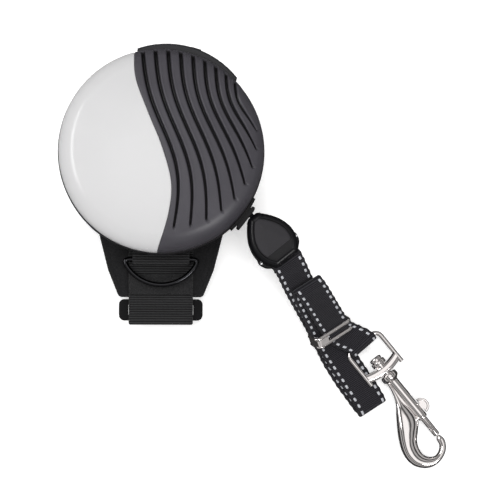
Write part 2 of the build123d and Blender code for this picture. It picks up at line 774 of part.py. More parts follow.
def lead_strap():
    second = STRAP_PITCH
    third = 2 * STRAP_PITCH
    path = [
        (-3.0, SLOPE_TOP[1] + 0.9), on_slope(SLOPE_TOP[0], 0), bend_end(0),
        (FRONT_FOLD, SLOPE_END[1]), (FRONT_FOLD, SLOPE_END[1] + second), bend_end(second),
        on_slope(TOP_FOLD - 1.0, second), on_slope(TOP_FOLD - 1.0, third), on_slope(44.4, third),
        (49.0, SNAP_Z + 2.0),
    ]
    folded = strap_frame() * ribbon(path, STRAP_T, STRAP_W)
    loop_r = 1.1 + 0.15 + STRAP_T / 2
    tip = POD_LENGTH + 1.5
    head = ribbon([(tip + 2, -0.2), (tip, -loop_r + 0.2), (PIN_AT, -loop_r)], STRAP_T, STRAP_W)
    top = ribbon([(PIN_AT, loop_r), (tip, loop_r), (tip + 3.0, loop_r - 0.9)], STRAP_T, STRAP_W)
    bend = Pos(PIN_AT, 0, 0) * Rot(90, 0, 0) * (
        Cylinder(loop_r + STRAP_T / 2, STRAP_W) - Cylinder(1.25, STRAP_W + 1))
    bend = bend & block((PIN_AT - 5, PIN_AT + 0.1), (-9, 9), (-5, 5))
    at_pod = pod_frame() * fuse([head, top, bend])
    eye_r = WIRE_R + 0.15 + STRAP_T / 2
    upper = ribbon([(-7.2, eye_r + 0.3), (-1.0, eye_r)], STRAP_T, STRAP_W - 0.6)
    lower = ribbon([(-7.2, -eye_r + 1.8), (-1.0, -eye_r)], STRAP_T, STRAP_W - 0.6)
    turn = Pos(-1.0, 0, 0) * Rot(90, 0, 0) * (
        Cylinder(eye_r + STRAP_T / 2, STRAP_W - 0.6) - Cylinder(WIRE_R + 0.15, STRAP_W + 1))
    turn = turn & block((-1.1, 5), (-9, 9), (-5, 5))
    at_eye = snap_frame() * fuse([upper, lower, turn])
    bore = snap_frame() * Pos(-1.0, 0, 0) * Rot(90, 0, 0) * Cylinder(WIRE_R + 0.15, 30)
    return fuse([folded, at_pod, at_eye]) - bore


STITCH_PITCH = 3.5
STITCH_SIZE = (1.9, 1.2, 0.2)
STITCH_IN = 1.9             # stitch rows, in from the strap's edges


def stitch_rows(start, end, place):
    """Reflective stitches in two rows between two distances along the strap."""
    stitches = []
    for index in range(int((end - start) / STITCH_PITCH)):
        along = start + STITCH_PITCH * (index + 0.5)
        for side in (-1, 1):
            across = side * (STRAP_W / 2 - STITCH_IN)
            x, z, lean = place(along)
            stitches.append(Pos(x, across, z) * Rot(0, lean, 0) * Box(*STITCH_SIZE))
    return stitches


def reflective_stitching():
    """The stitches on the strap's upper faces: near the pod, on the fold, at the end."""
    above = (STRAP_T + STITCH_SIZE[2]) / 2
    lean = degrees(SLOPE)
    near = stitch_rows(3.5, TOP_FOLD - 3.5, lambda a: (*on_slope(a, above), lean))
    lift = 2 * STRAP_PITCH + above
    folded = stitch_rows(TOP_FOLD, BUCKLE_AT + 5, lambda a: (*on_slope(a, lift), lean))
    level = SLOPE_END[1] + STRAP_PITCH + above
    end = stitch_rows(SLOPE_END[0] + 11.0, FRONT_FOLD - 1.5, lambda a: (a, level, 0))
    return group([strap_frame() * stitch for stitch in near + folded + end])


def buckle_frame():
    """X down the sloping strap, Z off it, at the slide buckle."""
    x, z = on_slope(BUCKLE_AT, STRAP_PITCH)
    return strap_frame() * Pos(x, 0, z) * Rot(0, degrees(SLOPE), 0) * Rot(0, 0, BUCKLE_SKEW)


def slide_buckle():
    """A wire-and-plate slide that wraps the folded strap."""
    half = 9.6
    top = STRAP_PITCH + STRAP_T / 2 + 1.3
    low = -STRAP_PITCH - STRAP_T / 2 - 1.2
    bars = [rod((x, -half, top), (x, half, top), 0.8) for x in (-2.2, 2.2)]
    sides = [block((-3.0, 3.0), pair, (low - 0.6, top + 0.8))
             for pair in ((-half - 0.7, -half + 0.7), (half - 0.7, half + 0.7))]
    under = block((-3.0, 3.0), (-half, half), (low - 0.6, low + 0.6))
    return buckle_frame() * fuse([under] + sides + bars)


# ---- swivel snap ----------------------------------------------------------------------------
def snap_frame():
    """X along the snap from the strap to the hook."""
    return Pos(SNAP_AT[0], SNAP_AT[1], SNAP_Z) * Rot(0, 0, SNAP_DIR)


BASE_NEAR = 13.0
BASE_FAR = 17.6
COLLAR_AT = 18.4


def snap_eye():
    path = FilletPolyline((BASE_NEAR + 1.5, -EYE_HALF, 0), (-1.0, -EYE_HALF, 0),
                          (-1.0, EYE_HALF, 0), (BASE_NEAR + 1.5, EYE_HALF, 0), radius=1.5)
    profile = Plane(origin=path @ 0, z_dir=path % 0) * Circle(WIRE_R)
    loop = sweep(profile, path=path)
    base = block((BASE_NEAR, BASE_FAR), (-EYE_HALF - WIRE_R, EYE_HALF + WIRE_R), (-1.2, 1.2))
    base = fillet(base.edges().filter_by(Axis.Z), 1.0)
    ring = Pos((BASE_NEAR + BASE_FAR) / 2, 0, 0) * Rot(0, 90, 0) * Cylinder(3.6, BASE_FAR - BASE_NEAR)
    bore = Pos((BASE_NEAR + BASE_FAR) / 2, 0, 0) * Rot(0, 90, 0) * Cylinder(2.08, 20)
    return snap_frame() * (loop + base + ring - bore)


def swivel_rivet():
    head = Pos(BASE_NEAR - 2.0, 0, 0) * Rot(0, 90, 0) * Cylinder(3.4, 2.4)
    head = fillet(head.edges().group_by(Axis.X)[0], 0.9)
    shank = rod((BASE_NEAR - 1.0, 0, 0), (COLLAR_AT + 1.5, 0, 0), 2.0)
    return snap_frame() * (head + shank)


def hook_outline():
    """Plan of the cast body: a shoulder beside the barrel and a curled hook."""
    outer = Spline([
        Vector(22.0, -1.0), Vector(27.0, -3.2), Vector(32.0, -4.6), Vector(37.5, -8.9),
        Vector(46.5, -15.6), Vector(54.0, -18.2), Vector(61.3, -15.4), Vector(64.4, -8.6),
        Vector(61.4, -0.9), Vector(54.5, 1.5)])
    inner = Spline([
        Vector(54.5, -1.6), Vector(58.8, -2.6), Vector(61.0, -7.0), Vector(55.4, -11.8),
        Vector(48.2, -9.8), Vector(44.6, -5.0), Vector(44.0, -1.0)])
    return make_face(outer + Line(outer @ 1, inner @ 0) + inner + Line(inner @ 1, outer @ 0))


def snap_hook():
    body = extrude(Pos(0, 0, -HOOK_T / 2) * hook_outline(), amount=HOOK_T)
    body = fillet(body.faces().filter_by(Axis.Z).edges(), 1.2)
    barrel = rod((COLLAR_AT + 1.0, 0, 0), (44.0, 0, 0), BARREL_R)
    collar = rod((COLLAR_AT, 0, 0), (COLLAR_AT + 2.4, 0, 0), 4.2)
    body = fuse([body, barrel, collar])
    body = body - rod((COLLAR_AT + 3.6, 0, 0), (46.0, 0, 0), BOLT_R + 0.1)
    body = body - rod((COLLAR_AT - 1, 0, 0), (COLLAR_AT + 1.5, 0, 0), 2.04)
    slot = (STUD_STEM[0] - BOLT_TRAVEL - 0.4, STUD_STEM[1] + 1.0)
    return snap_frame() * (body - block(slot, (0, 5), (-1.0, 1.0)))


def bolt_rod():
    return rod((BOLT_ENDS[0], 0, 0), (BOLT_ENDS[1], 0, 0), BOLT_R)


def snap_bolt():
    return snap_frame() * bolt_rod()


def thumb_stud():
    """The half-round stud that pulls the bolt back."""
    stem = block(STUD_STEM, (BOLT_R - 0.4, 4.0), (-0.75, 0.75))
    middle = (STUD_STEM[0] + STUD_STEM[1]) / 2
    wheel = Pos(middle, 3.4, 0) * (Cylinder(3.4, 2.2) & block((-5, 5), (0, 5), (-3, 3)))
    return snap_frame() * (stem + wheel - bolt_rod())


def bolt_spring():
    """The sleeve that the bolt's spring fills, between the barrel's back and the bolt."""
    ends = [(SPRING_BACK, 0, 0), (BOLT_ENDS[0] - 0.1, 0, 0)]
    core = [(SPRING_BACK - 1, 0, 0), (BOLT_ENDS[0] + 1, 0, 0)]
    return snap_frame() * (rod(*ends, 1.35) - rod(*core, 0.8))


NODES = {
    "rear_case": rear_case,
    "front_case": front_case,
    "white_cover": white_cover,
    "ribbed_grip": ribbed_grip,
    "case_screws": case_screws,
    "outlet_guide": outlet_guide,
    "outlet_bezel": outlet_bezel,
    "cord_run": cord_run,
    "drum": drum,
    "ratchet_flange": ratchet_flange,
    "drum_screws": drum_screws,
    "cord_coil": cord_coil,
    "clock_spring": clock_spring,
    "axle": axle,
    "axle_screw": axle_screw,
    "brake_button": brake_button,
    "brake_pawl": brake_pawl,
    "brake_springs": brake_springs,
    "lock_slider": lock_slider,
    "wrist_strap": wrist_strap,
    "wrist_pad": wrist_pad,
    "band_plate": band_plate,
    "band_screws": band_screws,
    "closure_patch": closure_patch,
    "strap_ring": strap_ring,
    "ring_keeper": ring_keeper,
    "d_ring": d_ring,
    "d_ring_tab": d_ring_tab,
    "pod_front": pod_front,
    "pod_badge": pod_badge,
    "pod_rear": pod_rear,
    "pod_pin": pod_pin,
    "cord_ferrule": cord_ferrule,
    "lead_strap": lead_strap,
    "reflective_stitching": reflective_stitching,
    "slide_buckle": slide_buckle,
    "snap_eye": snap_eye,
    "swivel_rivet": swivel_rivet,
    "snap_hook": snap_hook,
    "snap_bolt": snap_bolt,
    "thumb_stud": thumb_stud,
    "bolt_spring": bolt_spring,
}

for name, make in NODES.items():
    save(name, make())
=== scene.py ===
import json
import math

import bmesh
import bpy
import numpy as np
from mathutils import Matrix, Vector


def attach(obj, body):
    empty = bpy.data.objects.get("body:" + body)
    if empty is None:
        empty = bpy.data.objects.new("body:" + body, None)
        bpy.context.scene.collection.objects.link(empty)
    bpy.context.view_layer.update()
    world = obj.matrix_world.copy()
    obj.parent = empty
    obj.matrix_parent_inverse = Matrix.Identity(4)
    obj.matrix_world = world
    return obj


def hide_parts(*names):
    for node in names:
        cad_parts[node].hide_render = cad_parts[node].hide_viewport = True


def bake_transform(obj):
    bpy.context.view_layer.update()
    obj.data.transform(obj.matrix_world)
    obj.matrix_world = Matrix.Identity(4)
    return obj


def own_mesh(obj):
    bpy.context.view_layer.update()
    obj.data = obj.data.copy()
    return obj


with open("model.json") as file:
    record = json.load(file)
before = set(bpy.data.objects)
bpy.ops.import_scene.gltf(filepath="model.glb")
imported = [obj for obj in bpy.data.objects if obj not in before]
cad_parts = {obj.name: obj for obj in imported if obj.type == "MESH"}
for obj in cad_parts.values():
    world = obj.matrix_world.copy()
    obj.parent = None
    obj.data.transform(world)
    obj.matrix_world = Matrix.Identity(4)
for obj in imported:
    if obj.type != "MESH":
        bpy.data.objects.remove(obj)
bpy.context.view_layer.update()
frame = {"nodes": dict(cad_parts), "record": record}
nodes = frame["nodes"]
scene = bpy.context.scene


# ---- stage: camera, floor, light ----------------------------------------------
CAMERA_TARGET = Vector((0.0417, -0.0414, 0.0))
CAMERA_DISTANCE = 0.760
CAMERA_ELEVATION = math.radians(84.0)
CAMERA_AZIMUTH = math.radians(-30.0)
CAMERA_LENS = 116.4


def look_at(place, target, up):
    """Rotation of a camera or lamp at place that looks at target with up upwards."""
    forward = (target - place).normalized()
    right = forward.cross(up).normalized()
    above = right.cross(forward)
    return Matrix((right, above, -forward)).transposed().to_4x4()


def make_camera():
    level = math.cos(CAMERA_ELEVATION)
    away = Vector((level * math.sin(CAMERA_AZIMUTH), -level * math.cos(CAMERA_AZIMUTH),
                   math.sin(CAMERA_ELEVATION)))
    place = CAMERA_TARGET + away * CAMERA_DISTANCE
    data = bpy.data.cameras.new("camera")
    data.lens = CAMERA_LENS
    data.clip_start = 0.01
    camera = bpy.data.objects.new("camera", data)
    camera.matrix_world = Matrix.Translation(place) @ look_at(place, CAMERA_TARGET, Vector((0, 1, 0)))
    scene.collection.objects.link(camera)
    scene.camera = camera


def make_lamp(name, place, target, size, power):
    data = bpy.data.lights.new(name, "AREA")
    data.shape = "RECTANGLE"
    data.size, data.size_y = size
    data.energy = power
    lamp = bpy.data.objects.new(name, data)
    turn = look_at(Vector(place), Vector(target), Vector((0, 1, 0.1)))
    lamp.matrix_world = Matrix.Translation(Vector(place)) @ turn
    scene.collection.objects.link(lamp)
    return lamp


def make_world():
    """A studio seen in reflections: bright overhead, with dark and light bands below."""
    world = bpy.data.worlds.new("world")
    world.use_nodes = True
    tree = world.node_tree
    back = tree.nodes["Background"]
    coords = tree.nodes.new("ShaderNodeTexCoord")
    split = tree.nodes.new("ShaderNodeSeparateXYZ")
    ramp = tree.nodes.new("ShaderNodeValToRGB")
    tree.links.new(coords.outputs["Generated"], split.inputs["Vector"])
    tree.links.new(split.outputs["Z"], ramp.inputs["Fac"])
    tree.links.new(ramp.outputs["Color"], back.inputs["Color"])
    bands = ((0.0, 0.04), (0.14, 0.22), (0.26, 0.60), (0.36, 0.58), (0.44, 0.05), (0.60, 0.04),
             (0.66, 0.38), (0.78, 0.44), (0.84, 0.06), (0.90, 0.10), (0.95, 1.0), (1.0, 1.0))
    stops = ramp.color_ramp.elements
    stops[0].position = bands[0][0]
    stops[1].position = bands[-1][0]
    for place, _ in bands[1:-1]:
        stops.new(place)
    for stop, (_, level) in zip(stops, bands):
        stop.color = (level, level * 0.985, level * 0.98, 1)
    back.inputs["Strength"].default_value = 1.15
    scene.world = world


def make_stage():
    mesh = bpy.data.meshes.new("floor")
    mesh.from_pydata([(-3, -3, 0), (3, -3, 0), (3, 3, 0), (-3, 3, 0)], [], [(0, 1, 2, 3)])
    floor = bpy.data.objects.new("floor", mesh)
    floor.location.z = -0.0002
    floor.visible_glossy = False
    scene.collection.objects.link(floor)
    material = bpy.data.materials.new("floor_white")
    material.use_nodes = True
    shader = material.node_tree.nodes["Principled BSDF"]
    shader.inputs["Base Color"].default_value = (0.9, 0.9, 0.9, 1)
    shader.inputs["Roughness"].default_value = 0.9
    shader.inputs["Specular IOR Level"].default_value = 0.1
    shader.inputs["Emission Color"].default_value = (1, 1, 1, 1)
    shader.inputs["Emission Strength"].default_value = 0.4
    mesh.materials.append(material)
    make_world()
    overhead = make_lamp("overhead", (-0.10, 0.12, 0.95), (0.02, -0.03, 0.0), (0.75, 0.75), 5.6)
    # The overhead light only fills; what shines is the banded world and the side lamps.
    overhead.visible_glossy = False
    make_lamp("side", (-0.50, 0.09, 0.50), (0.0, 0.0, 0.03), (0.12, 0.50), 1.6)
    make_lamp("low", (0.34, -0.40, 0.46), (0.0, 0.0, 0.03), (0.30, 0.10), 1.3)
    scene.view_settings.view_transform = "Standard"


# ---- materials --------------------------------------------------------------------
SMEAR = 0.02      # how far plating varies in roughness


def new_material(name, color, roughness, metallic=0.0):
    material = bpy.data.materials.new(name)
    material.use_nodes = True
    tree = material.node_tree
    shader = tree.nodes["Principled BSDF"]
    shader.inputs["Base Color"].default_value = (*color, 1)
    shader.inputs["Roughness"].default_value = roughness
    shader.inputs["Metallic"].default_value = metallic
    return material, tree, shader


def link(tree, a, out, b, into):
    tree.links.new(a.outputs[out], b.inputs[into])


def noise(tree, scale, detail=4.0, roughness=0.6):
    """Noise in object space, at features per metre."""
    coords = tree.nodes.new("ShaderNodeTexCoord")
    texture = tree.nodes.new("ShaderNodeTexNoise")
    texture.inputs["Scale"].default_value = scale
    texture.inputs["Detail"].default_value = detail
    texture.inputs["Roughness"].default_value = roughness
    link(tree, coords, "Object", texture, "Vector")
    return texture


def vary(tree, shader, socket, texture, low, high):
    """Drive a socket from a texture between two values."""
    span = tree.nodes.new("ShaderNodeMapRange")
    span.inputs["To Min"].default_value = low
    span.inputs["To Max"].default_value = high
    link(tree, texture, "Fac", span, "Value")
    link(tree, span, "Result", shader, socket)


def tint(tree, shader, texture, dark, light):
    """Mix the base colour between two tones by a texture."""
    ramp = tree.nodes.new("ShaderNodeValToRGB")
    ramp.color_ramp.elements[0].position = 0.3
    ramp.color_ramp.elements[0].color = (*dark, 1)
    ramp.color_ramp.elements[1].position = 0.7
    ramp.color_ramp.elements[1].color = (*light, 1)
    link(tree, texture, "Fac", ramp, "Fac")
    link(tree, ramp, "Color", shader, "Base Color")


def bump(tree, shader, texture, distance, strength=1.0, out="Fac"):
    node = tree.nodes.new("ShaderNodeBump")
    node.inputs["Distance"].default_value = distance
    node.inputs["Strength"].default_value = strength
    link(tree, texture, out, node, "Height")
    link(tree, node, "Normal", shader, "Normal")


def moulded(name, color, roughness, grain, depth, coat=0.0, shine=0.3, mottle=0.06):
    """Moulded plastic: a fine grain, and roughness that varies a little."""
    material, tree, shader = new_material(name, color, roughness)
    shader.inputs["Specular IOR Level"].default_value = shine
    shader.inputs["Coat Weight"].default_value = coat
    shader.inputs["Coat Roughness"].default_value = 0.08
    fine = noise(tree, grain, 3.0)
    bump(tree, shader, fine, depth)
    wear = noise(tree, 90.0, 5.0)
    vary(tree, shader, "Roughness", wear, roughness - 0.04, roughness + 0.06)
    tint(tree, shader, wear, tuple(c * (1 - mottle) for c in color), tuple(c * (1 + mottle) for c in color))
    return material


def plated(name, color, roughness):
    """Bright plating over a casting: faint waviness and fine scratches."""
    material, tree, shader = new_material(name, color, roughness, 1.0)
    wave = noise(tree, 140.0, 2.0)
    bump(tree, shader, wave, 0.00012, 0.6)
    fine = noise(tree, 900.0, 6.0, 0.7)
    vary(tree, shader, "Roughness", fine, max(0.02, roughness - SMEAR), roughness + SMEAR)
    return material


def woven(name, color, light, pitch_across, pitch_along, depth, sheen=0.06):
    """Woven nylon, from UVs that are in metres: ribs across and threads along."""
    material, tree, shader = new_material(name, color, 0.75)
    shader.inputs["Specular IOR Level"].default_value = 0.15
    shader.inputs["Sheen Weight"].default_value = sheen
    shader.inputs["Sheen Roughness"].default_value = 0.4
    coords = tree.nodes.new("ShaderNodeTexCoord")
    ribs = tree.nodes.new("ShaderNodeTexWave")
    ribs.bands_direction = "Y"
    ribs.inputs["Scale"].default_value = 0.314 / pitch_along
    ribs.inputs["Distortion"].default_value = 0.3
    threads = tree.nodes.new("ShaderNodeTexWave")
    threads.bands_direction = "X"
    threads.inputs["Scale"].default_value = 0.314 / pitch_across
    threads.inputs["Distortion"].default_value = 0.2
    link(tree, coords, "UV", ribs, "Vector")
    link(tree, coords, "UV", threads, "Vector")
    both = tree.nodes.new("ShaderNodeMath")
    both.operation = "MULTIPLY_ADD"
    both.inputs[1].default_value = 0.4
    link(tree, threads, "Fac", both, 0)
    link(tree, ribs, "Fac", both, 2)
    bump(tree, shader, both, depth, 1.0, "Value")
    ramp = tree.nodes.new("ShaderNodeValToRGB")
    ramp.color_ramp.elements[0].position = 0.1
    ramp.color_ramp.elements[0].color = (*color, 1)
    ramp.color_ramp.elements[1].position = 1.2
    ramp.color_ramp.elements[1].color = (*light, 1)
    link(tree, both, "Value", ramp, "Fac")
    link(tree, ramp, "Color", shader, "Base Color")
    return material


def felt(name, color, light):
    """Felted or looped fibre."""
    material, tree, shader = new_material(name, color, 0.95)
    shader.inputs["Specular IOR Level"].default_value = 0.1
    shader.inputs["Sheen Weight"].default_value = 0.08
    shader.inputs["Sheen Roughness"].default_value = 0.5
    fibre = noise(tree, 1600.0, 6.0, 0.8)
    bump(tree, shader, fibre, 0.0004)
    tint(tree, shader, fibre, color, light)
    return material


def paint_groove_shade(material, groove_shade_color):
    """Painted shade in the grooves: the base colour is darkened by how far below the surface each point
    lies.
    """
    tree = material.node_tree
    shader = tree.nodes["Principled BSDF"]
    source = shader.inputs["Base Color"].links[0].from_socket
    groove_shade = tree.nodes.new("ShaderNodeAttribute")
    groove_shade.attribute_name = "groove_shade"
    mix = tree.nodes.new("ShaderNodeMix")
    mix.data_type = "RGBA"
    mix.inputs["B"].default_value = (*groove_shade_color, 1)
    tree.links.new(groove_shade.outputs["Fac"], mix.inputs["Factor"])
    tree.links.new(source, mix.inputs["A"])
    tree.links.new(mix.outputs["Result"], shader.inputs["Base Color"])


SLOT_MATERIALS = {
    "case_dark": moulded("case_dark", (0.012, 0.0115, 0.0135), 0.42, 3000, 0.00003, 0.0, 0.3),
    "cover_white": moulded("cover_white", (0.545, 0.545, 0.55), 0.24, 500, 0.000001, 0.0, 0.5, 0.006),
    "grip_dark": moulded("grip_dark", (0.050, 0.0475, 0.056), 0.36, 3500, 0.00003, 0.0, 0.4),
    "screw_steel": plated("screw_steel", (0.5, 0.5, 0.51), 0.3),
    "guide_black": moulded("guide_black", (0.006, 0.006, 0.0065), 0.4, 2500, 0.00002, 0.0, 0.2),
    "cord_black": felt("cord_black", (0.008, 0.008, 0.009), (0.03, 0.03, 0.033)),
    "drum_plastic": moulded("drum_plastic", (0.6, 0.6, 0.58), 0.4, 2500, 0.00002),
    "spring_steel": plated("spring_steel", (0.28, 0.3, 0.34), 0.3),
    "button_dark": moulded("button_dark", (0.020, 0.020, 0.022), 0.45, 3500, 0.00003),
    "webbing_black": woven("webbing_black", (0.002, 0.002, 0.0023), (0.032, 0.032, 0.033),
                           0.0006, 0.0011, 0.0003),
    "pad_black": felt("pad_black", (0.005, 0.005, 0.0055), (0.022, 0.022, 0.023)),
    "patch_black": felt("patch_black", (0.006, 0.006, 0.0065), (0.035, 0.035, 0.036)),
    "ring_black": moulded("ring_black", (0.004, 0.004, 0.0045), 0.5, 2500, 0.00003, 0.0, 0.12),
    "black_nickel": plated("black_nickel", (0.035, 0.035, 0.038), 0.16),
    "pod_black": moulded("pod_black", (0.004, 0.004, 0.005), 0.28, 1200, 0.000006, 0.0, 0.28),
    "badge_black": moulded("badge_black", (0.022, 0.021, 0.024), 0.45, 3000, 0.00002, 0.0, 0.25),
    "ferrule_brass": plated("ferrule_brass", (0.65, 0.5, 0.25), 0.25),
    "strap_black": woven("strap_black", (0.004, 0.004, 0.005), (0.030, 0.029, 0.034),
                         0.0007, 0.0008, 0.00025),
    "stitch_grey": felt("stitch_grey", (0.32, 0.33, 0.36), (0.62, 0.63, 0.66)),
    "chrome_metal": plated("chrome_metal", (0.82, 0.79, 0.78), 0.09),
}


# Painted shade darkens the base colour in the grip's grooves.
paint_groove_shade(SLOT_MATERIALS["grip_dark"], (0.0008, 0.0007, 0.001))


def finish_cad_nodes():
    """Every carried-over CAD node takes the material of its slot."""
    for entry in frame["record"]["subparts"]:
        obj = nodes[entry["node"]]
        obj.data.materials.clear()
        obj.data.materials.append(SLOT_MATERIALS[entry["material_slot"]])


# ---- mesh helpers -------------------------------------------------------------------
# Shapes are worked out in millimetres, in the frame of the CAD, and become
# metres when their mesh is made.
MM = 0.001


def make_piece(name, points, faces, body, slot, uvs=None):
    """A mesh piece from points in millimetres; uvs are per point, in metres."""
    mesh = bpy.data.meshes.new(name)
    mesh.from_pydata([tuple(float(c) * MM for c in p) for p in points], [],
                     [tuple(int(i) for i in f) for f in faces])
    if uvs is not None:
        layer = mesh.uv_layers.new(name="UVMap")
        corner = np.zeros(len(mesh.loops), dtype=np.int32)
        mesh.loops.foreach_get("vertex_index", corner)
        layer.data.foreach_set("uv", np.asarray(uvs, dtype=np.float32)[corner].ravel())
    mesh.polygons.foreach_set("use_smooth", [True] * len(mesh.polygons))
    mesh.materials.append(SLOT_MATERIALS[slot])
    mesh.update()
    obj = bpy.data.objects.new(name, mesh)
    scene.collection.objects.link(obj)
    if body:
        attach(obj, body)
    return obj


def weld_out(obj):
    """Faces turned outwards, with doubled points merged."""
    form = bmesh.new()
    form.from_mesh(obj.data)
    bmesh.ops.remove_doubles(form, verts=form.verts, dist=1e-6)
    bmesh.ops.recalc_face_normals(form, faces=form.faces)
    form.to_mesh(obj.data)
    form.free()


def solid_piece(name, node, points, faces, body, slot, uvs=None):
    """A welded mesh piece that stands for a CAD node."""
    obj = make_piece(name, points, faces, body, slot, uvs)
    weld_out(obj)
    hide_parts(node)
    return obj


def grid_faces(rows, columns, wrap_rows=False, wrap_columns=False, offset=0):
    """Quads of a grid of points stored row by row."""
    faces = []
    for i in range(rows if wrap_rows else rows - 1):
        for j in range(columns if wrap_columns else columns - 1):
            a = (i % rows) * columns + j
            b = (i % rows) * columns + (j + 1) % columns
            c = ((i + 1) % rows) * columns + (j + 1) % columns
            d = ((i + 1) % rows) * columns + j
            faces.append((a + offset, b + offset, c + offset, d + offset))
    return faces


def smooth_curve(points, count):
    """Points evenly along a centripetal Catmull-Rom curve through the given ones."""
    p = np.asarray(points, float)
    p = np.vstack([2 * p[0] - p[1], p, 2 * p[-1] - p[-2]])
    out = []
    for i in range(1, len(p) - 2):
        t = [0.0]
        for k in range(3):
            t.append(t[-1] + max(1e-6, np.linalg.norm(p[i + k] - p[i + k - 1])) ** 0.5)
        for u in np.linspace(t[1], t[2], 24, endpoint=False):
            a = [((t[k + 1] - u) * p[i - 1 + k] + (u - t[k]) * p[i + k]) / (t[k + 1] - t[k])
                 for k in range(3)]
            b = [((t[k + 2] - u) * a[k] + (u - t[k]) * a[k + 1]) / (t[k + 2] - t[k])
                 for k in range(2)]
            out.append(((t[2] - u) * b[0] + (u - t[1]) * b[1]) / (t[2] - t[1]))
    out.append(p[-2])
    return evenly(np.array(out), count)


def lengths(points):
    step = np.linalg.norm(np.diff(points, axis=0), axis=1)
    return np.concatenate([[0.0], np.cumsum(step)])


def evenly(points, count):
    """The polyline resampled to points at even spacing."""
    points = np.asarray(points, float)
    s = lengths(points)
    at = np.linspace(0, s[-1], count)
    return np.stack([np.interp(at, s, points[:, k]) for k in range(points.shape[1])], axis=1)


def unit(v):
    v = np.asarray(v, float)
    return v / np.maximum(1e-9, np.linalg.norm(v, axis=-1, keepdims=True))


def tangents(points, closed=False):
    points = np.asarray(points, float)
    if closed:
        return unit(np.roll(points, -1, axis=0) - np.roll(points, 1, axis=0))
    return unit(np.gradient(points, axis=0))


def swept(points, radius, sides=16, closed=False):
    """Points and faces of a round bar along a path."""
    points = np.asarray(points, float)
    t = tangents(points, closed)
    normal = unit(np.cross(t[0], (0, 0, 1) if abs(t[0][2]) < 0.9 else (1, 0, 0)))
    rings = []
    for p, d in zip(points, t):
        normal = unit(normal - d * np.dot(normal, d))
        other = np.cross(d, normal)
        a = np.linspace(0, 2 * np.pi, sides, endpoint=False)
        rings.append(p + radius * (np.outer(np.cos(a), normal) + np.outer(np.sin(a), other)))
    grid = np.concatenate(rings)
    faces = grid_faces(len(points), sides, wrap_rows=closed, wrap_columns=True)
    if not closed:
        faces.append(tuple(range(sides)))
        faces.append(tuple(range((len(points) - 1) * sides, len(points) * sides)))
    return grid, faces


def rounded_corners(corners, radii, step=0.4, closed=True):
    """A polyline with its corners replaced by arcs, in any two coordinates."""
    corners = [np.asarray(c, float) for c in corners]
    n = len(corners)
    out = []
    for i in range(n):
        c = corners[i]
        if not closed and i in (0, n - 1):
            out.append(c)
            continue
        a = unit(corners[i - 1] - c)
        b = unit(corners[(i + 1) % n] - c)
        half = math.acos(max(-1.0, min(1.0, float(np.dot(a, b))))) / 2
        r = radii[i]
        back = r / math.tan(half)
        centre = c + unit(a + b) * (r / math.sin(half))
        start = c + a * back
        end = c + b * back
        turn = math.pi - 2 * half
        count = max(2, int(turn * r / step) + 2)
        u = unit(start - centre)
        v = unit(end - centre)
        for k in range(count):
            f = k / (count - 1)
            s = math.sin(turn) or 1.0
            d = (math.sin((1 - f) * turn) * u + math.sin(f * turn) * v) / s
            out.append(centre + r * d)
    if closed:
        out.append(out[0])
    return np.array(out)


def strap_mesh(path, side, width, thick, step=0.35, closed=False, rib=0.0, pitch=1.1,
               scallop=0.0, scallop_pitch=3.5, across=14, crown=0.0):
    """A flat woven strap along a 3-D path.

    side holds unit vectors across it. Ribs run across it at a pitch, and its
    edges may be scalloped by the stitches. Returns points, faces, uvs, a
    function that places a point on it, and its length.
    """
    path = np.asarray(path, float)
    s = lengths(path)
    count = int(s[-1] / step) + 1
    at = np.linspace(0, s[-1], count)
    line = np.stack([np.interp(at, s, path[:, k]) for k in range(3)], axis=1)
    side = np.broadcast_to(np.asarray(side, float), path.shape)
    across_dir = unit(np.stack([np.interp(at, s, side[:, k]) for k in range(3)], axis=1))
    if closed:
        line, across_dir, at = line[:-1], across_dir[:-1], at[:-1]
    t = tangents(line, closed)
    normal = unit(np.cross(t, across_dir))
    r = thick * 0.46
    inner = np.linspace(-1, 1, across)
    arc = np.linspace(-math.pi / 2, math.pi / 2, 6)[1:-1]
    rows = []
    uv = []
    for k in range(len(line)):
        half = width / 2 + scallop * math.cos(2 * math.pi * at[k] / scallop_pitch)
        flat = half - r
        swell = rib * math.cos(2 * math.pi * at[k] / pitch)
        level = thick / 2 + swell
        section = [(x * flat, level + crown * (1 - x * x)) for x in inner]
        section += [(flat + r * math.cos(a), -r * math.sin(a)) for a in arc]
        section += [(-x * flat, -level) for x in inner]
        section += [(-flat - r * math.cos(a), r * math.sin(a)) for a in arc]
        rows.append([line[k] + a * across_dir[k] + b * normal[k] for a, b in section])
        width_run = np.concatenate([[0.0], np.cumsum([math.dist(p, q) for p, q in
                                                      zip(section, section[1:])])])
        uv += [((w - half) * MM, at[k] * MM) for w in width_run]
    columns = len(rows[0])
    points = np.array(rows).reshape(-1, 3)
    faces = grid_faces(len(rows), columns, wrap_rows=closed, wrap_columns=True)
    if not closed:
        faces.append(tuple(range(columns)))
        faces.append(tuple(range((len(rows) - 1) * columns, len(rows) * columns)))

    def place(along, sideways, lift):
        """A point at a distance along, across and above the middle of the strap."""
        p = np.array([np.interp(along, at, line[:, c]) for c in range(3)])
        d = unit(np.array([np.interp(along, at, across_dir[:, c]) for c in range(3)]))
        n = unit(np.array([np.interp(along, at, normal[:, c]) for c in range(3)]))
        return p + sideways * d + lift * n

    return points, faces, uv, place, float(s[-1])


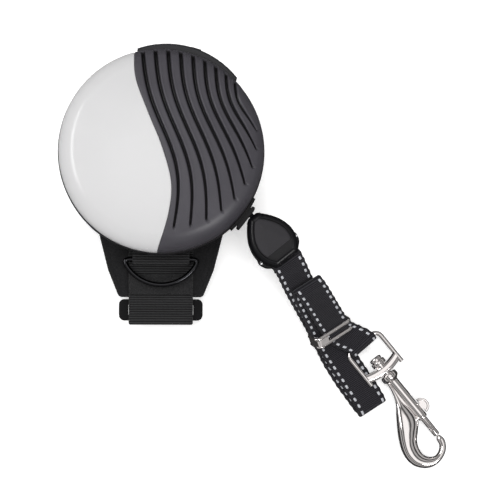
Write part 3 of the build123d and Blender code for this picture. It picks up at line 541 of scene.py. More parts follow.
def inset_outline(outline, amount):
    """A closed convex outline moved inwards, along rays from its middle."""
    if amount == 0:
        return outline
    centre = outline.mean(axis=0)
    ray = outline - centre
    dense = evenly(np.vstack([outline, outline[:1]]), 600)
    low = np.zeros(len(outline))
    high = np.ones(len(outline))
    for _ in range(16):
        mid = (low + high) / 2
        spot = centre + ray * mid[:, None]
        gap = np.sqrt(((spot[:, None, :] - dense[None, :, :]) ** 2).sum(axis=2)).min(axis=1)
        low = np.where(gap >= amount, mid, low)
        high = np.where(gap >= amount, high, mid)
    return centre + ray * low[:, None]


def offset_loop(loop, amount):
    """A closed loop moved inwards along its own normals; every bend is wider than that."""
    t = tangents(loop, closed=True)
    inward = np.stack([-t[:, 1], t[:, 0]], axis=1)
    area = np.sum(loop[:, 0] * np.roll(loop[:, 1], -1) - loop[:, 1] * np.roll(loop[:, 0], -1))
    if area < 0:
        inward = -inward
    return loop + inward * amount


def terraced(outline, levels):
    """A plate built of rings: each level is an inset from the outline and a height."""
    rings = []
    for inset, z in levels:
        ring = inset_outline(outline, inset)
        rings.append(np.column_stack([ring, np.full(len(ring), z)]))
    n = len(outline)
    points = np.concatenate(rings)
    faces = grid_faces(len(levels), n, wrap_columns=True)
    last = rings[-1]
    centre = last[:, :2].mean(axis=0)
    extra = []
    for share in (0.75, 0.5, 0.25):
        ring = centre + (last[:, :2] - centre) * share
        extra.append(np.column_stack([ring, np.full(n, last[0][2])]))
    base = len(points) - n
    points = np.concatenate([points] + extra + [[(centre[0], centre[1], last[0][2])]])
    faces += [tuple(i + base for i in f) for f in grid_faces(4, n, wrap_columns=True)]
    tip = len(points) - 1
    ring = tip - n
    faces += [(ring + k, ring + (k + 1) % n, tip) for k in range(n)]
    faces.append(tuple(range(n - 1, -1, -1)))
    return points, faces


def framed(points, origin, degrees_from_x):
    """Local points (X along, Y across, Z up) placed in the object's frame."""
    turn = Matrix.Rotation(math.radians(degrees_from_x), 3, "Z")
    return np.asarray(points, float) @ np.array(turn).T + np.asarray(origin, float)


# ---- case covers ----------------------------------------------------------------------
CASE_R = 46.0
SHOULDER_R = 10.0
SHOULDER_AT = 36.0
SHOULDER_Z = 36.5
DOME_TOP = 51.0
COVER_FOOT_Z = 33.7
BRAKE_TOP_Z = 38.0
BRAKE_WINDOW = (41.0, 107.0)          # degrees round the rim
OUTLET_TOP_Z = 35.5
OUTLET_WINDOW = (-38.2, 6.1)          # its middle and half its width, in degrees
DOME_R = (SHOULDER_AT ** 2 + (DOME_TOP - SHOULDER_Z) ** 2 - SHOULDER_R ** 2) / (
    2 * (DOME_TOP - SHOULDER_Z - SHOULDER_R))
DOME_Z = DOME_TOP - DOME_R
LEAN = math.atan2(SHOULDER_AT, SHOULDER_Z - DOME_Z)
DOME_RUN = DOME_R * LEAN
RIM_RUN = DOME_RUN + SHOULDER_R * (math.pi / 2 - LEAN)
FOOT_RUN = RIM_RUN + SHOULDER_Z - COVER_FOOT_Z
BRAKE_RUN = DOME_RUN + SHOULDER_R * (math.acos((BRAKE_TOP_Z - SHOULDER_Z) / SHOULDER_R) - LEAN)
OUTLET_RUN = RIM_RUN + SHOULDER_Z - OUTLET_TOP_Z
SKIN = 1.7
ROWS = 220

SEAM_START = 105.3
SEAM_END = -92.4
SEAM_GAP = 0.075
SEAM_SWAY = ((0.15, -0.8), (0.33, 3.0), (0.51, 7.6), (0.685, 9.8), (0.82, 7.2))
# The grip's grooves fan out from the top of the rim. In plan each one follows the chord
# from the circle of upper ends to its own lower end, bowed and swayed by shares of it.
GROOVES = 9
GROOVE_TOP_R = 45.0
GROOVE_TOP_ANGLE = (101.0, -7.3)     # first groove, and the step to the next
GROOVE_FOOT_R = (36.0, 0.9)
GROOVE_FOOT_ANGLE = (-81.0, 11.5)
GROOVE_BOW = (0.043, -0.0175)
GROOVE_SWAY = (-0.036, 0.002)
GROOVE_HALF = (0.95, 0.55)           # half widths at the upper and lower ends
GROOVE_DIP = 1.15
GROOVE_CREST = 0.14                  # the raised lip along a groove's right side


def on_dome(run, angle):
    """Point and outward normal on the covers: distance run from the axis, and angle."""
    run = np.asarray(run, float)
    lean = np.minimum(run / DOME_R, LEAN)
    bend = np.clip(LEAN + (run - DOME_RUN) / SHOULDER_R, LEAN, math.pi / 2)
    radius = np.where(run <= DOME_RUN, DOME_R * np.sin(lean), SHOULDER_AT + SHOULDER_R * np.sin(bend))
    z = np.where(run <= DOME_RUN, DOME_Z + DOME_R * np.cos(lean), SHOULDER_Z + SHOULDER_R * np.cos(bend))
    z = np.where(run > RIM_RUN, SHOULDER_Z - (run - RIM_RUN), z)
    tip = np.where(run <= DOME_RUN, lean, bend)
    ca, sa = np.cos(angle), np.sin(angle)
    point = np.stack([radius * ca, radius * sa, z], axis=-1)
    normal = np.stack([np.sin(tip) * ca, np.sin(tip) * sa, np.cos(tip)], axis=-1)
    return point, normal


def run_at(radius):
    """Distance run over the dome at a plan radius."""
    radius = np.minimum(radius, CASE_R - 1e-6)
    shoulder = DOME_RUN + SHOULDER_R * (np.arcsin(np.clip((radius - SHOULDER_AT) / SHOULDER_R, 0, 1))
                                        - LEAN)
    return np.where(radius <= DOME_R * math.sin(LEAN), DOME_R * np.arcsin(radius / DOME_R), shoulder)


def unrolled(points):
    """Plan points to flat ones whose distance from the middle is the run over the dome."""
    radius = np.hypot(points[:, 0], points[:, 1])
    return points / radius[:, None] * run_at(radius)[:, None]


def polar(radius, degrees):
    return np.array((radius * math.cos(math.radians(degrees)),
                     radius * math.sin(math.radians(degrees))))


def stepped(first_and_step, index):
    return first_and_step[0] + first_and_step[1] * index


def groove_plan(index, count):
    """A groove's middle line in plan, from the upper end to the lower one."""
    top = polar(GROOVE_TOP_R, stepped(GROOVE_TOP_ANGLE, index))
    foot = polar(stepped(GROOVE_FOOT_R, index), stepped(GROOVE_FOOT_ANGLE, index))
    chord = foot - top
    part = np.linspace(0, 1, count)[:, None]
    aside = (stepped(GROOVE_BOW, index) * np.sin(math.pi * part)
             + stepped(GROOVE_SWAY, index) * np.sin(2 * math.pi * part))
    return top + chord * part + np.array((-chord[1], chord[0])) * aside


def swayed(start, end):
    """Points of the seam in plan, swayed off the chord between its ends."""
    chord = end - start
    side = unit(np.array((-chord[1], chord[0])))
    return np.array([start] + [start + chord * part + side * amount for part, amount in SEAM_SWAY]
                    + [end])


def edge_run(degrees):
    """How far down the side a cover reaches at an angle."""
    degrees = (degrees + 180) % 360 - 180
    if BRAKE_WINDOW[0] < degrees < BRAKE_WINDOW[1]:
        return BRAKE_RUN
    if abs(degrees - OUTLET_WINDOW[0]) < OUTLET_WINDOW[1]:
        return OUTLET_RUN
    return FOOT_RUN


def to_edge(flat, count):
    """An unrolled curve carried radially out to the covers' edge at both ends."""
    first, last = (math.degrees(math.atan2(end[1], end[0])) for end in (flat[0], flat[-1]))
    return evenly(np.vstack([polar(edge_run(first), first), flat, polar(edge_run(last), last)]), count)


def seam_line(shift):
    """The seam in unrolled coordinates, moved sideways by a shift."""
    chord = swayed(polar(CASE_R + 1, SEAM_START), polar(CASE_R + 1, SEAM_END))
    line = smooth_curve(chord, 600) + np.array((shift, 0.0))
    line = line[np.hypot(line[:, 0], line[:, 1]) < CASE_R - 0.02]
    return to_edge(unrolled(line), ROWS)


def rib_line(index):
    """A groove's middle in unrolled coordinates, and the runs where it starts and ends."""
    line = unrolled(groove_plan(index, 500))
    whole = to_edge(line, ROWS)
    s = lengths(whole)
    before = np.linalg.norm(whole[0] - line[0])
    after = s[-1] - np.linalg.norm(whole[-1] - line[-1])
    return whole, before, after


def groove_depth(offset, along, before, after):
    """Depth at an offset right of a groove's middle, and a distance along it."""
    span = max(1e-6, after - before)
    part = np.clip((along - before) / span, 0, 1)
    half = GROOVE_HALF[0] + (GROOVE_HALF[1] - GROOVE_HALF[0]) * part
    fade = np.clip((along - before + 0.4) / 1.0, 0, 1) * np.clip((after + 2.2 - along) / 3.4, 0, 1)
    fade = fade * fade * (3 - 2 * fade)
    dip = np.exp(-np.abs(offset / half) ** 2.6 * 1.1)
    crest = GROOVE_CREST * np.exp(-((offset - half - 0.55) / 0.5) ** 2) * (1 - 0.6 * part)
    return fade * (crest - GROOVE_DIP * dip)


def cover_piece(name, node, slot, columns, heights):
    """A cover from columns of unrolled points, with its edges turned inwards."""
    rows = len(columns[0])
    flat = np.stack(columns, axis=1)
    run = np.hypot(flat[..., 0], flat[..., 1])
    angle = np.arctan2(flat[..., 1], flat[..., 0])
    point, normal = on_dome(run, angle)
    top = point + normal * heights[..., None]
    count = flat.shape[1]
    grid = top.reshape(-1, 3)
    faces = grid_faces(rows, count)
    loop = list(range(count))
    loop += [i * count + count - 1 for i in range(1, rows)]
    loop += [(rows - 1) * count + j for j in range(count - 2, -1, -1)]
    loop += [i * count for i in range(rows - 2, 0, -1)]
    # The edge rolls over before it turns in.
    flat_normal = normal.reshape(-1, 3)[loop]
    edge = grid[loop]
    drop = [edge - flat_normal * depth for depth in (0.12, SKIN)]
    points = np.concatenate([grid] + drop)
    n = len(loop)
    first = len(grid)
    for k in range(n):
        m = (k + 1) % n
        faces.append((loop[k], first + k, first + m, loop[m]))
        faces.append((first + k, first + n + k, first + n + m, first + m))
    obj = make_piece(name, points, faces, "case", slot)
    # Painted shade: how much each point's base colour is darkened, by how far it lies below the surface.
    groove_shade = obj.data.attributes.new("groove_shade", "FLOAT", "POINT")
    groove_shade_share = np.zeros(len(points), dtype=np.float32)
    groove_shade_share[:len(grid)] = np.clip((-heights.ravel() - 0.15) / 0.6, 0, 1)
    groove_shade.data.foreach_set("value", groove_shade_share)
    weld_out(obj)
    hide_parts(node)


def ribbed_grip():
    ribs = [rib_line(index) for index in range(GROOVES)]
    seam = seam_line(SEAM_GAP)
    last = ribs[-1][0]
    a = math.atan2(last[0][1], last[0][0])
    b = math.atan2(last[-1][1], last[-1][0])
    arc = np.array([polar(edge_run(math.degrees(t)), math.degrees(t)) for t in np.linspace(a, b, ROWS)])
    arc[0] = last[0]
    lines = [(seam, 0.0, 0.0)] + ribs + [(arc, 0.0, 0.0)]
    near = [0.0, 0.16, 0.32, 0.48, 0.64, 0.8, 0.96, 1.12, 1.3, 1.5, 1.75, 2.1, 2.5]
    columns = []
    heights = []
    for k in range(len(lines) - 1):
        left, right = lines[k], lines[k + 1]
        gap = np.linalg.norm(right[0] - left[0], axis=1)
        start = near if k > 0 else [0.0, 0.15, 0.4, 0.9, 1.6]
        finish = near if k < len(lines) - 2 else [0.0, 0.5, 1.2, 2.0]
        marks = [(x, "left") for x in start] + [(0.5, "middle")] + [(x, "right") for x in finish[::-1]]
        if k < len(lines) - 2:
            marks = marks[:-1]
        way = (right[0] - left[0]) / np.maximum(gap, 1e-6)[:, None]
        # Where the lines draw together their columns squeeze in step.
        squeeze = np.minimum(1.0, gap / 5.4)
        for x, kind in marks:
            if kind == "left":
                off = x * squeeze
            elif kind == "right":
                off = gap - x * squeeze
            else:
                off = gap * 0.5
            columns.append(left[0] + way * off[:, None])
            high = np.zeros(ROWS)
            if k > 0:
                high += groove_depth(off, lengths(left[0]), left[1], left[2])
            if k < len(lines) - 2:
                high += groove_depth(off - gap, lengths(right[0]), right[1], right[2])
            if k == 0:
                high -= 0.25 * np.exp(-off / 0.25)
            heights.append(high)
    cover_piece("grip_ribbed", "ribbed_grip", "grip_dark", columns, np.stack(heights, axis=1))


def white_cover():
    seam = seam_line(-SEAM_GAP)
    a = math.degrees(math.atan2(seam[0][1], seam[0][0]))
    b = math.degrees(math.atan2(seam[-1][1], seam[-1][0])) + 360
    arc = np.array([polar(FOOT_RUN, t) for t in np.linspace(a, b, ROWS)])
    arc[0], arc[-1] = seam[0], seam[-1]
    shares = np.concatenate([[0.0, 0.002, 0.006], np.linspace(0.015, 1.0, 90)])
    columns = []
    heights = []
    for share in shares:
        columns.append(seam + (arc - seam) * share)
        off = np.linalg.norm(arc - seam, axis=1) * share
        heights.append(-0.22 * np.exp(-off / 0.2))
    cover_piece("cover_smooth", "white_cover", "cover_white", columns, np.stack(heights, axis=1))


# ---- wrist strap ------------------------------------------------------------------------
WEB_W = 29.6
WEB_T = 1.4
BAND_CORNERS = ((22.0, 16.0), (-50.0, 16.0), (-77.0, 10.4), (-77.0, 4.6), (-52.0, 0.0), (22.0, 0.0))
BAND_RADII = (7.9, 30.0, 2.8, 2.8, 30.0, 7.9)
RING_BAR = (-47.5, 18.5)             # the middle of the D-ring's bar, in (y, z)
RING_HALF = 17.3
RING_DEPTH = 11.8


def moved_loop(amount, step=0.4):
    """The wrist strap's loop in (y, z), moved inwards by an amount."""
    loop = rounded_corners(BAND_CORNERS, BAND_RADII, step)[:-1]
    # The loop is evened out first, so that its arcs and runs move in step.
    loop = evenly(np.vstack([loop, loop[:1]]), 700)[:-1]
    return offset_loop(loop, amount)


def in_band(loop):
    """(y, z) points as 3-D ones in the plane x = 0."""
    return np.column_stack([np.zeros(len(loop)), loop])


def wrist_webbing():
    loop = moved_loop(WEB_T / 2)
    path = in_band(np.vstack([loop, loop[:1]]))
    points, faces, uv, _, run = strap_mesh(path, (1.0, 0.0, 0.0), WEB_W, WEB_T - 0.16, 0.27,
                                               closed=True, rib=0.07, pitch=1.25, across=12)
    obj = solid_piece("wrist_webbing", "wrist_strap", points, faces, "case", "webbing_black", uv)


def wrist_padding():
    """The soft pad inside the webbing: a folded strip, tapered at its ends."""
    loop = moved_loop(WEB_T + 0.15 + 1.45)
    ahead = int(np.argmin(loop[:, 0]))
    loop = np.roll(loop, -ahead, axis=0)
    keep = loop[:, 0] > -64.2
    first = int(np.argmax(keep))
    strip = loop[first:]
    last = len(strip) - int(np.argmax(strip[::-1, 0] > -64.2))
    strip = strip[:last]
    line = evenly(in_band(strip), 330)
    half = np.interp(line[:, 1], (-64.6, -52.0, -36.0, 30.0), (19.2, 24.3, 28.4, 28.4))
    s = lengths(line)
    t = tangents(line)
    normal = np.cross(t, (1.0, 0.0, 0.0))
    rows = []
    uv = []
    angles = np.linspace(0, 2 * math.pi, 64, endpoint=False)
    for k in range(len(line)):
        end = min(s[k], s[-1] - s[k])
        close = min(1.0, end / 1.6)
        thick = 1.35 * math.sqrt(max(0.02, 1 - (1 - close) ** 2))
        wide = half[k] - 0.9 * (1 - math.sqrt(max(0.0, 1 - (1 - close) ** 2)))
        ring = []
        for a in angles:
            ca, sa = math.cos(a), math.sin(a)
            x = wide * math.copysign(abs(ca) ** 0.12, ca)
            z = thick * math.copysign(abs(sa) ** 0.45, sa)
            # A bound edge: a stitched channel just inside the rim of the pad.
            inside = wide - abs(x)
            z *= 1 - 0.30 * math.exp(-((inside - 2.6) / 0.45) ** 2)
            ring.append(line[k] + np.array((x, 0, 0)) + normal[k] * z)
            uv.append((x * MM, s[k] * MM))
        rows.append(ring)
    points = np.array(rows).reshape(-1, 3)
    n = len(angles)
    faces = grid_faces(len(rows), n, wrap_columns=True)
    faces.append(tuple(range(n)))
    faces.append(tuple(range((len(rows) - 1) * n, len(rows) * n)))
    obj = solid_piece("wrist_padding", "wrist_pad", points, faces, "case", "pad_black", uv)


def fuzzy_patch():
    loop = moved_loop(-0.5)
    patch = loop[(loop[:, 0] > -63.5) & (loop[:, 0] < -54.5) & (loop[:, 1] > 8)]
    path = in_band(patch[np.argsort(patch[:, 0])])
    points, faces, uv, _, run = strap_mesh(path, (1.0, 0.0, 0.0), WEB_W - 0.6, 0.7, 0.3, across=90)
    ragged = points + np.column_stack([
        0.18 * np.sin(points[:, 1] * 9.1 + points[:, 0] * 3.3),
        0.18 * np.sin(points[:, 0] * 7.7 + points[:, 1] * 2.1),
        0.10 * np.sin(points[:, 0] * 6.3) * np.cos(points[:, 1] * 7.9)])
    obj = solid_piece("closure_loops", "closure_patch", ragged, faces, "case", "patch_black", uv)


def keeper_tab():
    """The short tab that ties the strap ring to the pad."""
    z = 7.55
    clear = 1.5 + 0.2 + 0.6
    out = rounded_corners([(-64.9, z - clear), (-68.95, z - clear), (-68.95, z + clear),
                           (-64.9, z + clear)], [0, 1.4, 1.4, 0], 0.2, closed=False)
    path = in_band(evenly(out, 90))
    points, faces, uv, _, run = strap_mesh(path, (1.0, 0.0, 0.0), 24.0, 1.05, 0.2,
                                               rib=0.05, pitch=1.1, across=12)
    obj = solid_piece("keeper_tab", "ring_keeper", points, faces, "case", "webbing_black", uv)


def ring_tab():
    """Webbing folded round the bar of the D-ring and sewn down."""
    bar_y, bar_z = RING_BAR
    reach = 1.1 + 0.15 + 0.55
    a = np.array([(-31.0, 16.75), (-46.2, 16.75)])
    turn = [(bar_y - reach * math.sin(t), bar_z - reach * math.cos(t)) for t in
            np.linspace(0.15, math.pi - 0.15, 22)]
    back = [(-45.6, 20.25), (-43.4, 18.7), (-41.6, 18.0), (-38, 17.95), (-31.0, 17.95)]
    path = in_band(evenly(np.vstack([a, turn, back]), 200))
    points, faces, uv, _, run = strap_mesh(path, (1.0, 0.0, 0.0), 26.0, 0.98, 0.25,
                                               rib=0.06, pitch=1.25, across=12)
    obj = solid_piece("ring_webbing", "d_ring_tab", points, faces, "case", "webbing_black", uv)


def dark_ring():
    """The D-ring: a bent and welded wire with rounded corners."""
    bar_y, bar_z = RING_BAR
    span = RING_HALF
    arc_r = (span ** 2 + RING_DEPTH ** 2) / (2 * RING_DEPTH)
    sweep = math.asin(span / arc_r)
    arc = [(arc_r * math.sin(a), bar_y - RING_DEPTH + arc_r * (1 - math.cos(a)), bar_z)
           for a in np.linspace(-sweep, sweep, 60)]
    bar = [(x, bar_y, bar_z) for x in np.linspace(span, -span, 40)]
    ring = np.array(arc + bar[1:-1])
    ring = evenly(np.vstack([ring, ring[:1]]), 241)[:-1]
    for _ in range(70):
        ring = (np.roll(ring, 1, axis=0) + 2 * ring + np.roll(ring, -1, axis=0)) / 4
    points, faces = swept(ring, 1.1, 20, closed=True)
    solid_piece("dark_ring", "d_ring", points, faces, "d_ring", "black_nickel")


# ---- folded lead strap --------------------------------------------------------------------
STRAP_AT = (57.0, -48.9, 0.0)
STRAP_DIR = -57.7
STRAP_W = 15.0
STRAP_T = 1.6
PITCH = 1.8
SLOPE_TOP = (2.0, 32.7)
SLOPE_END = (46.0, 0.8)
SLOPE = math.atan2(SLOPE_TOP[1] - SLOPE_END[1], SLOPE_END[0] - SLOPE_TOP[0])
TOP_FOLD = 13.6
FRONT_FOLD = 78.4
DASH_PITCH = 3.5


def on_slope(along, lift):
    height = SLOPE_TOP[1] - (along - SLOPE_TOP[0]) * math.tan(SLOPE)
    return (along + lift * math.sin(SLOPE), height + lift * math.cos(SLOPE))


def fold(centre, radius, start, end, count=12):
    """Points of a fold's arc in (along, height), between two angles in degrees."""
    return [(centre[0] + radius * math.cos(math.radians(a)),
             centre[1] + radius * math.sin(math.radians(a))) for a in np.linspace(start, end, count)]


ROLL = ((-10.0, 0.0), (5.0, 0.0), (20.0, 12.0), (42.0, 12.0), (60.0, 8.0), (78.0, 3.0))


def rolled(along):
    """How far the folded strap is rolled over at a distance along it, in degrees."""
    return float(np.interp(along, [p[0] for p in ROLL], [p[1] for p in ROLL]))


def strap_path():
    """Rows of (along, across, height, yaw, roll): the strap's whole folded length."""
    lean = math.degrees(SLOPE)
    rows = []

    def add(points, across, yaw, free=False):
        for a, z in points:
            roll = 0.0 if free else rolled(a)
            # The rolled strap rests on its lower edge once it reaches the surface.
            lift = 7.4 * math.sin(math.radians(roll)) * min(1.0, max(0.0, (a - 34.0) / 12.0))
            rows.append((a, across, z + lift, yaw, roll))

    # Round the pod's pin, from the sewn end underneath.
    add([(1.6, 29.9), (-2.0, 29.45)], -0.5, 4.0)
    add(fold((-6.4, 31.5), 2.05, 270, 90), -0.8, 6.5)
    add([(-1.5, 33.5), (0.6, 33.3)], -0.3, 3.0)
    low = 1.02
    turn = PITCH / 2
    # First layer, down the slope and along the surface, lying a little to the left.
    add([on_slope(4.0, 0)], -0.5, 0.0)
    add([on_slope(12.0, 0)], -1.0, 0.0)
    add([on_slope(30.0, 0)], -0.9, 0.0)
    add([on_slope(41.5, 0)], -1.2, 0.0)
    add([(48.5, low + 0.1)], -1.8, 0.0)
    add([(60.0, low)], -1.8, 0.0)
    # Front fold, then back over the first layer.
    add([(FRONT_FOLD - 1.2, low)], -0.6, 0.0)
    add(fold((FRONT_FOLD - 0.9, low + turn), turn, -80, 80), 0.0, 0.0)
    add([(FRONT_FOLD - 6.0, low + PITCH + 0.2)], 0.4, 0.0)
    add([(60.0, low + PITCH)], 0.1, 0.0)
    add([(49.6, low + PITCH + 0.35)], -0.2, 0.0)
    add([on_slope(42.0, PITCH)], -0.4, 0.0)
    add([on_slope(30.0, PITCH)], -0.2, 0.0)
    add([on_slope(TOP_FOLD + 1.0, PITCH)], 0.8, 0.0)
    # Top fold.
    centre = on_slope(TOP_FOLD - 0.8, PITCH + turn)
    add(fold(centre, turn, -90 - lean - 20, -270 - lean + 20), 2.2, 0.0)
    add([on_slope(TOP_FOLD + 1.0, 2 * PITCH + 0.5)], 2.8, 0.0)
    add([on_slope(24.0, 2 * PITCH + 0.4)], 3.5, 0.0)
    add([on_slope(33.0, 2 * PITCH)], 4.0, 0.0)
    # The tail leaves the slide and runs across to the snap's eye.
    add([on_slope(37.0, 2 * PITCH)], 4.6, 6.0)
    add([on_slope(40.5, 2 * PITCH)], 6.2, 17.0, True)
    add([(46.3, 7.4)], 9.0, 19.0, True)
    eye = (50.4, 5.0)
    add(fold(eye, 2.0, 115, -75, 16), 11.6, 8.0, True)
    add([(46.6, 3.55)], 9.4, 9.0, True)
    add([(43.4, 4.1)], 7.4, 10.0, True)
    return np.array(rows)


def smoothed(values, width):
    """A running mean that keeps its ends."""
    kernel = np.ones(width) / width
    padded = np.concatenate([np.full(width // 2, values[0]), values,
                             np.full(width // 2, values[-1])])
    return np.convolve(padded, kernel, mode="valid")[:len(values)]


def lead_strap():
    rows = strap_path()
    s = lengths(rows[:, [0, 2]])
    at = np.linspace(0, s[-1], 1400)
    a = smoothed(np.interp(at, s, rows[:, 0]), 5)
    z = smoothed(np.interp(at, s, rows[:, 2]), 5)
    across = smoothed(np.interp(at, s, rows[:, 1]), 41)
    yaw = np.radians(smoothed(np.interp(at, s, rows[:, 3]), 61))
    roll = np.radians(smoothed(np.interp(at, s, rows[:, 4]), 61))
    path = framed(np.column_stack([a, across, z]), STRAP_AT, STRAP_DIR)
    side = framed(np.column_stack([-np.sin(yaw) * np.cos(roll), np.cos(yaw) * np.cos(roll),
                                   -np.sin(roll)]), (0, 0, 0), STRAP_DIR)
    points, faces, uv, place, run = strap_mesh(
        path, side, STRAP_W - 0.3, STRAP_T - 0.12, 0.3, rib=0.02, pitch=0.9, scallop=0.15,
        scallop_pitch=DASH_PITCH, across=12, crown=0.05)
    obj = solid_piece("lead_strap_folded", "lead_strap", points, faces, "lead", "strap_black", uv)
    stitches(place, run)


def stitches(place, run):
    """Reflective stitches along both edges and on both faces of the strap."""
    points = []
    faces = []
    count = int(run / DASH_PITCH)
    for index in range(count):
        middle = DASH_PITCH * (index + 0.5)
        # No stitch sits where the strap passes round the pin or the snap's eye.
        if middle < 9.5 or middle > run - 12.0:
            continue
        for row in (-1, 1):
            for face in (-1, 1):
                first = len(points)
                wobble = 0.10 * math.sin(index * 2.7 + row + face)
                for i, u in enumerate(np.linspace(-1, 1, 5)):
                    for j, v in enumerate(np.linspace(-1, 1, 5)):
                        edge = max(abs(u) ** 3, abs(v) ** 3)
                        pinch = 1 - 0.14 * abs(u) ** 4
                        lift = STRAP_T / 2 - 0.05 + 0.24 * (1 - edge) - 0.12 * edge
                        points.append(place(middle + u * 1.05, row * 5.6 + wobble + v * 0.68 * pinch,
                                            face * lift))
                quads = grid_faces(5, 5, offset=first)
                faces += quads if face > 0 else [f[::-1] for f in quads]
    obj = make_piece("reflective_dashes", points, faces, "lead", "stitch_grey")
    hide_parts("reflective_stitching")


# ---- cord and pod -----------------------------------------------------------------------------
CORD_DIR = -51.2
CORD_Z = 31.5
CORD_TURN = (37.3, -24.5, CORD_Z)
CORD_R = 1.17
CORD_MOUTH = 4.89
POD_NOSE = CORD_MOUTH + 1.0
POD_LENGTH = 25.6
POD_HALF = ((0.0, 2.3), (3.2, 5.4), (9.0, 9.1), (15.2, 10.5), (21.0, 9.2), (24.6, 6.8))


def lead_cord():
    """The cord where it comes round inside the outlet and runs to the pod."""
    inner = rounded_corners([(35.5, 3.2, CORD_Z), CORD_TURN, tuple(framed([(14.0, 0, 0)], CORD_TURN,
                            CORD_DIR)[0])], [0, 12.0, 0], 0.4, closed=False)
    line = evenly(inner, 160)
    points, faces = swept(line, CORD_R, 20)
    s = lengths(line)
    twist = []
    for k in range(len(line)):
        for j in range(20):
            twist.append((j / 20 * 2 * math.pi * 1.2 * MM, s[k] * MM))
    obj = make_piece("lead_cord", points, faces, "", "cord_black", twist)
    weld_out(obj)
    start = framed([(2.0, 0, 0)], CORD_TURN, CORD_DIR)[0] * MM
    end = framed([(POD_NOSE + 1.0, 0, 0)], CORD_TURN, CORD_DIR)[0] * MM
    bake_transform(obj)
    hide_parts("cord_run")


def pod_shape(count=160):
    upper = [np.array(p) for p in POD_HALF]
    side = smooth_curve(upper, 60)
    flat = rounded_corners([(24.3, 7.1), (POD_LENGTH, 5.7), (POD_LENGTH, -5.7), (24.3, -7.1)],
                           [0, 1.1, 1.1, 0], 0.1, closed=False)
    nose = rounded_corners([(1.2, -3.9), (0.0, -2.3), (0.0, 2.3), (1.2, 3.9)], [0, 0.8, 0.8, 0], 0.1,
                           closed=False)
    side = side[(side[:, 0] > 1.2) & (side[:, 0] < 24.3)]
    whole = np.vstack([side, flat, (side * (1, -1))[::-1], nose])
    return evenly(np.vstack([whole, whole[:1]]), count + 1)[:-1]


def badge_shape(inset, cut, count=140):
    """The pod's outline moved inwards and cut straight across, with soft corners."""
    ring = inset_outline(pod_shape(400), inset)
    ring[:, 0] = np.minimum(ring[:, 0], cut)
    ring = evenly(np.vstack([ring, ring[:1]]), 400)
    for _ in range(14):
        body = ring[:-1]
        body = (np.roll(body, 1, axis=0) + body + np.roll(body, -1, axis=0)) / 3
        ring = np.vstack([body, body[:1]])
    return evenly(ring, count + 1)[:-1]


def pod_place(points):
    return framed(np.asarray(points) + (POD_NOSE, 0, 0), CORD_TURN, CORD_DIR)


def pod_back_shape():
    """The pod's outline with a low swelling at each end of the strap pin."""
    ring = pod_shape(220)
    swell = 1.1 * np.exp(-((ring[:, 0] - 20.6) / 3.1) ** 4)
    ring[:, 1] += np.where(np.abs(ring[:, 1]) > 4.5, np.sign(ring[:, 1]) * swell, 0)
    return ring


def pod():
    levels = [(2.4, -5.58), (1.5, -5.45), (0.7, -5.0), (0.2, -4.3), (0.0, -3.4), (0.0, -0.1), (0.15, 0.05),
              (0.6, 0.1), (3.0, 0.1)]
    points, faces = terraced(pod_back_shape(), levels)
    solid_piece("pod_back", "pod_rear", pod_place(points), faces, "lead", "pod_black")
    levels = [(1.3, 0.35), (0.25, 0.15), (0.0, 0.5), (0.0, 2.6), (0.12, 3.4), (0.45, 4.3), (0.95, 5.0),
              (1.5, 5.5), (2.0, 5.78), (2.3, 5.82), (2.5, 5.7), (2.62, 5.35), (2.8, 5.3)]
    points, faces = terraced(pod_shape(), levels)
    solid_piece("pod_shell", "pod_front", pod_place(points), faces, "lead", "pod_black")
    panel = badge_shape(2.95, 18.9)
    levels = [(0.0, 5.0), (0.0, 5.38), (0.12, 5.55), (0.35, 5.62), (1.2, 5.66), (2.6, 5.78), (4.2, 5.9)]
    points, faces = terraced(panel, levels)
    solid_piece("pod_panel", "pod_badge", pod_place(points), faces, "lead", "badge_black")


# ---- swivel snap ----------------------------------------------------------------------------------
SNAP_AT = (94.3, -85.8, 5.0)
SNAP_DIR = -50.7
WIRE = 1.05
EYE_HALF = 9.15
SHARP = math.radians(38)


def in_snap(points):
    return framed(points, SNAP_AT, SNAP_DIR)


def chrome_piece(name, points, faces, body, node):
    obj = solid_piece(name, node, in_snap(points), faces, body, "chrome_metal")
    obj.data.set_sharp_from_angle(angle=SHARP)


def joined(*parts):
    """Several (points, faces) shapes as one."""
    points = []
    faces = []
    for shape, quads in parts:
        faces += [tuple(i + len(points) for i in f) for f in quads]
        points += [tuple(p) for p in shape]
    return points, faces


def lathe(profile, sides=48):
    """A turned shape about the X axis, from (x, radius) pairs, with open ends."""
    rows = []
    for x, r in profile:
        a = np.linspace(0, 2 * math.pi, sides, endpoint=False)
        rows.append(np.column_stack([np.full(sides, x), r * np.cos(a), r * np.sin(a)]))
    points = np.concatenate(rows)
    faces = grid_faces(len(rows), sides, wrap_columns=True)
    return points, faces


def snap_eye():
    corners = [(17.4, -EYE_HALF, 0), (-1.0, -EYE_HALF, 0), (-1.0, EYE_HALF, 0), (17.4, EYE_HALF, 0)]
    line = evenly(rounded_corners(corners, [0, 3.2, 3.2, 0], 0.3, closed=False), 170)
    wire = swept(line, WIRE, 20)
    # The base is a thick strip, bowed towards the hook, that the wire is set into.
    rows = []
    for u in np.linspace(-1, 1, 41):
        y = u * (EYE_HALF - 0.5)
        bow = 1.5 * (1 - u * u)
        near = 11.5 + bow
        far = 15.9 + bow
        high = 2.1 - 0.2 * u * u
        upper = [(near + 4.4 * t, high - 0.9 * abs(2 * t - 1) ** 3) for t in np.linspace(0, 1, 11)]
        lower = [(far - 0.25, -high), (near + 0.25, -high)]
        rows.append([(x, y, z) for x, z in upper + lower])
    count = len(rows[0])
    ends = [tuple(range(count)), tuple(range(40 * count, 41 * count))]
    base = (np.array(rows).reshape(-1, 3), grid_faces(len(rows), count, wrap_columns=True) + ends)
    points, faces = joined(wire, base)
    chrome_piece("eye_loop", points, faces, "eye", "snap_eye")


